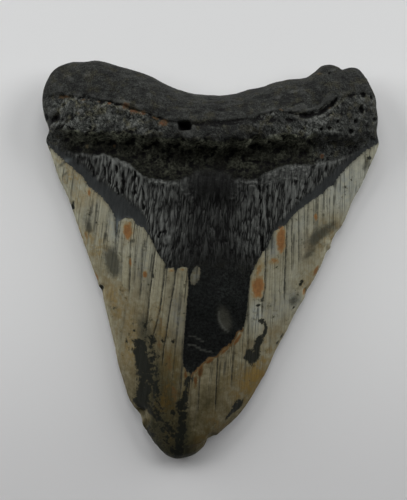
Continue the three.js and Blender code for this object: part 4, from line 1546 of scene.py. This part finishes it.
@dataclass(frozen=True)
class EnamelFinish:
    """The enamel's colours: olive grey that darkens towards the tip, in part as painted shade, with tints,
    stains and cracks.
    """

    pale_to_dark: tuple[Colour, ...] = (
        (0.41, 0.412, 0.34), (0.33, 0.328, 0.256), (0.248, 0.234, 0.16), (0.15, 0.13, 0.078),
        (0.076, 0.066, 0.034), (0.022, 0.023, 0.014),
    )
    tan: Colour = (0.27, 0.17, 0.042)
    blue_grey: Colour = (0.24, 0.275, 0.28)
    rim: Colour = (0.088, 0.05, 0.019)
    stain: Colour = (0.0095, 0.011, 0.0092)
    smudge: Colour = (0.042, 0.042, 0.031)
    crack: Colour = (0.02, 0.022, 0.018)
    patch: Noise = Noise(0.14, 4.0, 0.6)
    mottle: Noise = Noise(0.65, 5.0, 0.65)
    streaky: Noise = Noise(1.0, 3.0, 0.6, (1.0, 0.06, 0.06))
    fibres: Noise = Noise(3.0, 2.0, 0.5, (1.0, 0.045, 0.05))
    torn: Noise = Noise(0.55, 6.0, 0.72)
    broad: Noise = Noise(0.22)
    dots_to_mm: float = 0.36
    waver: Noise = Noise(0.7, 3.0, 0.6)
    broken: Noise = Noise(0.5, 3.0, 0.7)
    hair: Noise = Noise(1.1, 1.0, 0.5, (1.0, 0.03, 0.03))
    hair_patches: Noise = Noise(0.16, 1.0)
    thin: Noise = Noise(0.75, 0.0, 0.5, (1.0, 0.014, 0.02))

    def build(self, paint: ToothRecipe) -> tuple[Value, Value, Value]:
        """Lays the enamel on: its ground from pale to dark, tints, stains, cracks and rusty rim.

        Args:
            paint: The material.

        Returns:
            The colour, the roughness and the bump height in millimetres.
        """
        patch = paint.centred(self.patch)
        mottle = paint.centred(self.mottle)
        streaky = paint.centred(self.streaky, paint.grain)
        fibres = paint.centred(self.fibres, paint.grain)
        uneven = (patch * 0.45 + mottle * 0.42 + streaky * 0.28) * (0.55 + paint.enamel_darkness * 1.1)
        # The ground, and the tan below, darken with the enamel's darkness, which near the tip is in part
        # painted shade.
        colour = paint.ramp(paint.enamel_darkness + uneven, self.pale_to_dark)
        colour = paint.mix(paint.cool * mottle.step(-0.2, 0.15) * 0.7, colour, self.blue_grey)
        tan = paint.shade(self.tan, paint.enamel_darkness.step(0.45, 0.85, 1.0, 0.45))
        colour = paint.mix(paint.warm * (mottle + patch).step(-0.15, 0.2) * 0.85, colour, tan)
        colour = paint.shade(colour, fibres.step(-0.2, 0.2, 0.91, 1.08))
        colour = paint.shade(colour, streaky.step(-0.2, 0.2, 0.86, 1.12))
        colour = paint.mix((paint.depth + mottle).step(0.9, 0.0, 0.0, 0.45), colour, self.smudge)
        colour = self.stained(paint, colour, patch)
        lines = self.cracks(paint)
        colour = paint.mix(lines, colour, self.crack)
        rim = paint.depth.step(0.9, 0.2) * (paint.pale + mottle).step(0.25, 0.5)
        colour = paint.mix(rim, colour, self.rim)
        bump = mottle * 0.12 + streaky * 0.12 + fibres * 0.05 + lines * -0.12
        return colour, 0.46 + mottle * 0.15 + lines * 0.2, bump

    def stained(self, paint: ToothRecipe, colour: Value, patch: Value) -> Value:
        """Lays on soft smudges, black stains with brown edges, and small dots.

        Args:
            paint: The material.
            colour: The colour so far.
            patch: Broad noise that says where the dots are.

        Returns:
            The stained colour.
        """
        torn = paint.centred(self.torn)
        soft = (paint.smudge + torn * 1.1).step(0.25, 1.0, 0.0, 0.85)
        colour = paint.mix(soft, colour, self.smudge)
        ragged = paint.black + torn * 2.6 + paint.centred(self.broad) * 1.2
        colour = paint.mix(ragged.step(0.18, 0.55, 0.0, 0.65), colour, self.pale_to_dark[-2])
        colour = paint.mix(ragged.step(0.4, 0.66, 0.0, 0.94), colour, self.stain)
        dots = paint.cells(paint.place, self.dots_to_mm).step(0.13, 0.05) * patch.step(0.0, 0.12)
        return paint.mix(dots * 0.75, colour, self.stain)

    def cracks(self, paint: ToothRecipe) -> Value:
        """How dark the cracks are: the long ones by number, and hairlines near the upper edge.

        The distance to a long crack is its number's distance to the nearest whole number times
        the gap to the neighbouring crack. A hairline is a low place, or a line of middle value, in
        noise drawn out lengthwise.

        Args:
            paint: The material.

        Returns:
            The darkness, 0 to 1.
        """
        to_whole = paint.crack_number - paint.crack_number.math("ROUND")
        away = abs(to_whole * paint.crack_gap + paint.centred(self.waver) * 0.5)
        broken = paint.centred(self.broken).step(-0.18, 0.08, 0.38, 1.0)
        line = away.step(0.4, 0.08) * paint.crack_strength * broken
        hair = paint.centred(self.hair, paint.grain).step(-0.09, -0.17)
        hair *= paint.centred(self.hair_patches).step(-0.08, 0.08, 0.15, 1.0)
        hair *= paint.depth.step(15.0, 1.0, 0.18, 0.75)
        thin = abs(paint.centred(self.thin, paint.grain)).step(0.03, 0.008)
        thin = thin * paint.depth.step(17.0, 3.0, 0.0, 0.62) * broken
        return (line * 0.92).math("MAXIMUM", thin.math("MAXIMUM", hair))


@dataclass(frozen=True)
class ToothFinish:
    """The tooth's one material: enamel and dark parts with a ragged border, and rust on both."""

    shared: SharedNoise = SharedNoise()
    dark: DarkFinish = DarkFinish()
    enamel: EnamelFinish = EnamelFinish()
    rust: Colour = (0.205, 0.094, 0.032)
    ochre: Colour = (0.245, 0.172, 0.074)
    root_rust: Colour = (0.08, 0.036, 0.017)
    border: Noise = Noise(1.3, 4.0, 0.7)
    torn: Noise = Noise(0.8, 6.0, 0.75)
    specular: float = 0.10

    def material(self) -> bpy.types.Material:
        """Makes the material, worked out from the mesh's attributes and Object coordinates.

        Returns:
            The material.
        """
        paint = ToothRecipe("fossil_tooth", self.shared)
        enamel, enamel_rough, enamel_bump = self.enamel.build(paint)
        on_enamel = (paint.centred(self.border) * 1.3 + paint.depth).step(-0.06, 0.08)
        colour = paint.mix(on_enamel, self.dark.colour(paint), enamel)
        height = paint.mix_number(on_enamel, self.dark.bump(paint), enamel_bump)
        return paint.finish(paint.node("ShaderNodeBsdfPrincipled", {
            "Base Color": self.rusted(paint, colour, on_enamel),
            "Roughness": paint.mix_number(on_enamel, self.dark.roughness(paint), enamel_rough),
            "Normal": paint.node("ShaderNodeBump", {"Strength": 1.0, "Distance": MM, "Height": height}),
            "Specular IOR Level": self.specular,
        }))

    def rusted(self, paint: ToothRecipe, colour: Value, on_enamel: Value) -> Value:
        """Lays the rust on: an ochre rim round a deeper middle, with torn edges.

        Args:
            paint: The material.
            colour: The colour so far.
            on_enamel: How much each point is enamel.

        Returns:
            The rusted colour.
        """
        torn = paint.centred(self.torn)
        ragged = paint.rust + torn * 1.5
        deep = paint.mix(on_enamel, self.root_rust, self.rust)
        deep = paint.shade(deep, torn.step(-0.25, 0.25, 0.7, 1.3))
        # Rust and ochre darken with the enamel's darkness, which near the tip is in part painted shade.
        deep = paint.shade(deep, paint.enamel_darkness.step(0.39, 0.6, 1.0, 0.4))
        ochre = paint.shade(self.ochre, paint.enamel_darkness.step(0.39, 0.6, 1.0, 0.42))
        colour = paint.mix(ragged.step(0.25, 0.6) * (0.15 + on_enamel * 0.55), colour, ochre)
        return paint.mix(ragged.step(0.45, 0.85, 0.0, 0.92), colour, deep)


# ---- the tooth ----


def softened(values: Array, passes: int, axes: tuple[int, ...] = (0, 1)) -> Array:
    """Evens an array out: each pass gives every point half of itself and a quarter of each side.

    Args:
        values: The values, in rows and columns.
        passes: How many times it is evened.
        axes: The axes along which it is evened.

    Returns:
        The evened values.
    """
    for _ in range(passes):
        for axis in axes:
            wide = np.pad(values, [(1, 1) if i == axis else (0, 0) for i in (0, 1)], mode="edge")
            before, after = (wide[:-2], wide[2:]) if axis == 0 else (wide[:, :-2], wide[:, 2:])
            values = 0.5 * values + 0.25 * (before + after)
    return values


@dataclass(frozen=True)
class BakeMap:
    """Where the two sheets lie on the flat map: the outer one is half size and turned about."""

    size: float = 160.0
    left: float = -66.0
    bottom: float = -80.5
    outer_scale: float = 0.5
    outer_x: float = 58.0
    outer_y: float = -44.0

    def flatten(self, points: Array, side: Side) -> Array:
        """Lays a sheet out by its lengths: sideways from its middle column and up from its middle row.

        Args:
            points: The sheet's points, with rows, columns and x, y, z as its axes.
            side: Which face it is.

        Returns:
            The places on the map, 0 to 1.
        """
        x, y, z = np.moveaxis(points, -1, 0)
        rows, columns = x.shape
        over = np.hypot(np.diff(x, axis=1), np.diff(z, axis=1)).cumsum(1)
        over = np.pad(over, ((0, 0), (1, 0)))
        up = np.pad(np.hypot(np.diff(y, axis=0), np.diff(z, axis=0)).cumsum(0), ((1, 0), (0, 0)))
        column, row = columns // 2, rows // 2
        over += (x - over)[:, column : column + 1]
        up += (y - up)[row : row + 1]
        if side is Side.OUTER:
            over = self.outer_x + self.outer_scale * over
            up = self.outer_y - self.outer_scale * up
        return np.stack([(over - self.left) / self.size, (up - self.bottom) / self.size], -1)


@dataclass(frozen=True)
class Tooth:
    """The whole tooth, one closed piece that stands for the CAD solid."""

    name: str = "tooth_surface"
    outline: Outline = Outline()
    grid: Grid = Grid()
    form: ToothForm = ToothForm()
    marks: Landmarks = Landmarks()
    root: RootRelief = RootRelief()
    collar: CollarRelief = CollarRelief()
    crown: CrownRelief = CrownRelief()
    cracks: EnamelCracks = EnamelCracks()
    markings: Markings = Markings()
    finish: ToothFinish = ToothFinish()
    bake_map: BakeMap = BakeMap()
    edge_fade: float = 1.2
    edge_passes: int = 40
    cavity_passes: int = 18

    def sheet(self, side: Side) -> Sheet:
        """The grid points of one face. The outer face uses every second line of the inner's grid.

        Args:
            side: Which face it is.

        Returns:
            The face's grid points.
        """
        every = 1 if side is Side.INNER else 2
        across, lengthwise = self.grid.across(), self.grid.lengthwise()
        x, y = self.outline.plan(across, lengthwise)
        low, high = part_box("tooth")
        x += (low.x + high.x) / 2.0 / MM - (x.min() + x.max()) / 2.0
        y += (low.y + high.y) / 2.0 / MM - (y.min() + y.max()) / 2.0
        x, y = x[::every, ::every], y[::every, ::every]
        wide = np.stack([(x[:, -1] - x[:, 0]) / 2.0, (x[:, -1] + x[:, 0]) / 2.0], -1)
        evened = softened(wide, self.edge_passes // every**2, (0,))
        half_width = np.repeat(evened[:, :1], x.shape[1], 1)
        length = float(np.hypot(*np.diff(smooth_curve(self.outline.left), axis=0).T).sum())
        v = np.repeat(lengthwise[::every, None], x.shape[1], 1)
        middle = np.repeat(np.abs(2.0 * across[None, ::every] - 1.0), x.shape[0], 0)
        straight = np.clip(np.abs(x - evened[:, 1:]) / evened[:, :1], 0.0, 1.0)
        middle = blend(straight, middle, ease(0.8, 1.0, middle))
        return Sheet(side, x, y, middle, half_width, v * length, (1.0 - v) * length,
                     along(self.form.edge_heights, y))

    def surface(self, sheet: Sheet) -> Array:
        """The smooth form of one face.

        Args:
            sheet: The face.

        Returns:
            Its points, with rows, columns and x, y, z as their axes.
        """
        if sheet.side is Side.OUTER:
            return np.stack([sheet.x, sheet.y, self.form.outer(sheet)], -1)
        ledge = along(self.marks.ledge_line, sheet.x)
        neck = along(self.marks.neck_line, sheet.x)
        return np.stack([sheet.x, sheet.y, self.form.inner(sheet, ledge, neck)], -1)

    def outward(self, points: Array, side: Side) -> Array:
        """A face's unit normals: the cross product of its slopes along rows and columns."""
        normal = np.cross(np.gradient(points, axis=1), np.gradient(points, axis=0))
        normal /= np.linalg.norm(normal, axis=-1, keepdims=True)
        return normal if side is Side.INNER else -normal

    def dressed(self, sheet: Sheet) -> tuple[Array, dict[str, Array], Array]:
        """One face with its relief.

        Args:
            sheet: The face.

        Returns:
            Its points, its attributes by name, and its places on the bake map.
        """
        parts = Regions.of(sheet, self.marks)
        smooth = self.surface(sheet)
        number, gap, strength = self.cracks.field(sheet)
        crack = hill(np.abs(number - np.round(number)) * gap, self.cracks.half_width) * strength
        relief = self.root.lift(sheet, parts, self.marks)
        relief += self.crown.lift(sheet, parts, crack, self.marks)
        if sheet.side is Side.INNER:
            relief += self.collar.lift(sheet, parts)
        passes = self.cavity_passes if sheet.side is Side.INNER else self.cavity_passes // 3
        cavity = relief - softened(relief, passes)
        relief *= ease(0.0, self.edge_fade, sheet.from_edge)
        points = smooth + relief[..., None] * self.outward(smooth, sheet.side)
        points[..., 2] = np.maximum(points[..., 2], 0.0)
        marks, tone = self.markings.masks(sheet)
        stored = {
            "skin": np.stack([parts.enamel_depth, cavity, parts.gain], -1),
            "upper": np.stack([parts.root_top, parts.band, parts.hollow], -1),
            "lower": np.stack([parts.collar, parts.strip, parts.spear], -1),
            "zones": np.stack(self.collar.zones(sheet, parts), -1),
            "lines": np.stack([parts.above_split, parts.below_neck, self.markings.enamel_darkness_of(sheet)], -1),
            "crack": np.stack([number, gap, strength], -1),
            "grain": np.stack([grain_across(sheet), sheet.y, smooth[..., 2]], -1),
            "marks": marks,
            "tone": tone,
        }
        return points, stored, self.bake_map.flatten(smooth, sheet.side)

    def faces(self, rows: int, columns: int) -> tuple[Array, Array]:
        """The corners of the outer sheet's faces, with the inner sheet's extra points on the rim.

        Each face has eight places, corner and mid-side by turns. A mid-side is used only on the rim.

        Args:
            rows: Rows of points in the inner sheet.
            columns: Columns of points in the inner sheet.

        Returns:
            The inner sheet's quads and the outer sheet's eight places, -1 where one isn't used.
        """
        inner = np.arange(rows * columns).reshape(rows, columns)
        quads = np.stack([inner[:-1, :-1], inner[:-1, 1:], inner[1:, 1:], inner[1:, :-1]], -1)
        outer = inner[::2, ::2].copy()
        inside = outer[1:-1, 1:-1]
        outer[1:-1, 1:-1] = rows * columns + np.arange(inside.size).reshape(inside.shape)
        around = np.full((outer.shape[0] - 1, outer.shape[1] - 1, 8), -1)
        around[..., 0], around[..., 2] = outer[:-1, :-1], outer[1:, :-1]
        around[..., 4], around[..., 6] = outer[1:, 1:], outer[:-1, 1:]
        around[:, 0, 1], around[-1, :, 3] = inner[1::2, 0], inner[-1, 1::2]
        around[:, -1, 5], around[0, :, 7] = inner[1::2, -1], inner[0, 1::2]
        return quads.reshape(-1, 4), around.reshape(-1, 8)

    def mesh(self) -> bpy.types.Mesh:
        """Joins the two sheets into one closed mesh, with its attributes and its bake map.

        Returns:
            The mesh, in metres.
        """
        inner, outer = self.sheet(Side.INNER), self.sheet(Side.OUTER)
        points, stored, flat = self.dressed(inner)
        back_points, back_stored, back_flat = self.dressed(outer)
        quads, around = self.faces(*inner.x.shape)
        used = around >= 0
        loops = np.concatenate([quads.ravel(), around[used]])
        totals = np.concatenate([np.full(len(quads), 4), used.sum(1)])
        hidden = (slice(1, -1), slice(1, -1))
        joined = np.concatenate([points.reshape(-1, 3), back_points[hidden].reshape(-1, 3)]) * MM
        mesh = bpy.data.meshes.new(self.name)
        mesh.vertices.add(len(joined))
        mesh.vertices.foreach_set("co", joined.ravel())
        mesh.loops.add(len(loops))
        mesh.loops.foreach_set("vertex_index", loops.astype(np.int32))
        mesh.polygons.add(len(totals))
        mesh.polygons.foreach_set("loop_start", np.append(0, totals.cumsum()[:-1]).astype(np.int32))
        mesh.polygons.foreach_set("use_smooth", np.ones(len(totals), dtype=bool))
        mesh.update(calc_edges=True)
        for name, values in stored.items():
            both = np.concatenate([values.reshape(-1, 3), back_stored[name][hidden].reshape(-1, 3)])
            layer = mesh.attributes.new(name, "FLOAT_VECTOR", "POINT")
            layer.data.foreach_set("vector", both.astype(np.float32).ravel())
        low, high = back_flat[:-1], back_flat[1:]
        corners = np.stack([low[:, :-1], high[:, :-1], high[:, 1:], low[:, 1:]], -2)
        middles = (corners + np.roll(corners, -1, axis=-2)) / 2.0
        places = np.stack([corners, middles], -2).reshape(-1, 8, 2)
        map_places = np.concatenate([flat.reshape(-1, 2)[quads.ravel()], places[used]])
        mesh.uv_layers.new(name="OFBake").uv.foreach_set("vector", map_places.astype(np.float32).ravel())
        mesh.validate()
        return mesh

    def build(self) -> bpy.types.Object:
        """Makes the tooth and puts it on the frame.

        Returns:
            The tooth's object.
        """
        tooth = bpy.data.objects.new(self.name, self.mesh())
        bpy.context.scene.collection.objects.link(tooth)
        tooth.data.materials.append(self.finish.material())
        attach(tooth, "root")
        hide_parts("tooth")
        return tooth


# ---- the studio ----


@dataclass(frozen=True)
class SoftLight:
    """A soft box: a square or oblong light that looks at the tooth."""

    name: str
    place: Place
    width: float
    length: float
    power: float

    def build(self) -> bpy.types.Object:
        """Makes the light and turns it towards the tooth.

        Returns:
            The light's object.
        """
        lamp = bpy.data.lights.new(self.name, "AREA")
        lamp.shape = "RECTANGLE"
        lamp.size, lamp.size_y = self.width, self.length
        lamp.energy = self.power
        light = bpy.data.objects.new(self.name, lamp)
        light.location = self.place
        light.rotation_euler = (-Vector(self.place)).to_track_quat("-Z", "Y").to_euler()
        bpy.context.scene.collection.objects.link(light)
        return light


@dataclass(frozen=True)
class Studio:
    """A pale floor in a low glowing ring, soft light from beyond the root, and a camera above."""

    floor_half: float = 4.0
    floor_colour: Colour = (0.8, 0.805, 0.805)
    # Painted shade: the floor's colour is darker towards the bottom of the view, where the light falls off,
    # and a little darker towards its top.
    floor_shade_near: Colour = (0.685, 0.685, 0.688)
    floor_shade_far: Colour = (0.745, 0.75, 0.752)
    near_fade: tuple[float, float] = (0.0, -0.085)
    far_fade: tuple[float, float] = (0.03, 0.09)
    floor_roughness: float = 0.9
    floor_specular: float = 0.1
    sky: Colour = (0.022, 0.022, 0.022)
    lights: tuple[SoftLight, ...] = (
        SoftLight("window_middle", (0.0, 0.85, 0.62), 0.7, 0.5, 4.4),
        SoftLight("window_left", (-0.76, 0.46, 0.36), 0.7, 0.6, 7.3),
        SoftLight("window_right", (0.76, 0.46, 0.36), 0.7, 0.6, 7.3),
    )
    backdrop_radius: float = 1.3
    backdrop_height: float = 0.22
    backdrop_sides: int = 96
    backdrop_glow: float = 0.78
    camera_place: Place = (-0.0024, 0.0033, 0.9)
    view_height: float = 0.165
    view_level: float = 0.006
    sensor: float = 36.0

    def stand(self, name: str, points: list, faces: list, material: bpy.types.Material) -> bpy.types.Object:
        """Makes one plain thing of the studio, which is no part of the tooth.

        Args:
            name: Its name.
            points: Its points, in metres.
            faces: Its faces, as the numbers of their points.
            material: Its material.

        Returns:
            Its object.
        """
        mesh = bpy.data.meshes.new(name)
        mesh.from_pydata(points, [], faces)
        mesh.materials.append(material)
        thing = bpy.data.objects.new(name, mesh)
        bpy.context.scene.collection.objects.link(thing)
        return thing

    def floor(self) -> bpy.types.Object:
        """A flat floor, wide enough to fill every view, palest under the tooth's middle, with painted shade
        towards both ends of the view.

        Returns:
            The floor's object.
        """
        paint = Recipe("floor_paper")
        up = paint.split(paint.node("ShaderNodeTexCoord", {}, "Object"))[1]
        colour = paint.mix(up.step(*self.near_fade), self.floor_colour, self.floor_shade_near)
        material = paint.finish(paint.node("ShaderNodeBsdfPrincipled", {
            "Base Color": paint.mix(up.step(*self.far_fade), colour, self.floor_shade_far),
            "Roughness": self.floor_roughness,
            "Specular IOR Level": self.floor_specular,
        }))
        half = self.floor_half
        corners = [(-half, -half, 0), (half, -half, 0), (half, half, 0), (-half, half, 0)]
        return self.stand("floor", corners, [(0, 1, 2, 3)], material)

    def backdrop(self) -> bpy.types.Object:
        """A low, pale, softly lit ring round the floor, so that low views end in it.

        Its points go round a circle, at (radius cos a, radius sin a), first low and then high.

        Returns:
            The ring's object.
        """
        turn = np.linspace(0.0, 2.0 * np.pi, self.backdrop_sides, endpoint=False)
        ring = self.backdrop_radius * np.stack([np.cos(turn), np.sin(turn), 0.0 * turn], -1)
        points = np.concatenate([ring, ring + (0.0, 0.0, self.backdrop_height)])
        low = np.arange(len(turn))
        following = np.roll(low, -1)
        faces = np.stack([following, low, low + len(turn), following + len(turn)], -1)
        paint = Recipe("backdrop_glow")
        glow = {"Color": (1.0, 1.0, 1.0), "Strength": self.backdrop_glow}
        material = paint.finish(paint.node("ShaderNodeEmission", glow))
        return self.stand("backdrop", points.tolist(), faces.tolist(), material)

    def camera(self) -> bpy.types.Object:
        """A long lens straight above, that shows the wanted height at the outline's level.

        Returns:
            The camera's object.
        """
        view = bpy.data.cameras.new("camera")
        view.sensor_width = self.sensor
        view.lens = self.sensor * (self.camera_place[2] - self.view_level) / self.view_height
        camera = bpy.data.objects.new("camera", view)
        camera.location = self.camera_place
        bpy.context.scene.collection.objects.link(camera)
        bpy.context.scene.camera = camera
        return camera

    def build(self) -> None:
        """Makes the floor, the backdrop, the lights, the camera and the dim surroundings."""
        self.floor()
        self.backdrop()
        for light in self.lights:
            light.build()
        self.camera()
        world = bpy.data.worlds.new("studio")
        world.use_nodes = True
        background = world.node_tree.nodes["Background"]
        background.inputs["Color"].default_value = (*self.sky, 1.0)
        background.inputs["Strength"].default_value = 1.0
        bpy.context.scene.world = world
        bpy.context.scene.view_settings.view_transform = "Standard"


def main() -> None:
    """Builds the studio and the tooth."""
    logging.basicConfig(level=logging.INFO, format="%(name)s: %(message)s")
    Studio().build()
    tooth = Tooth().build()
    log.info("%s: %d points, %d faces", tooth.name, len(tooth.data.vertices), len(tooth.data.polygons))


if __name__ == "__main__":
    main()
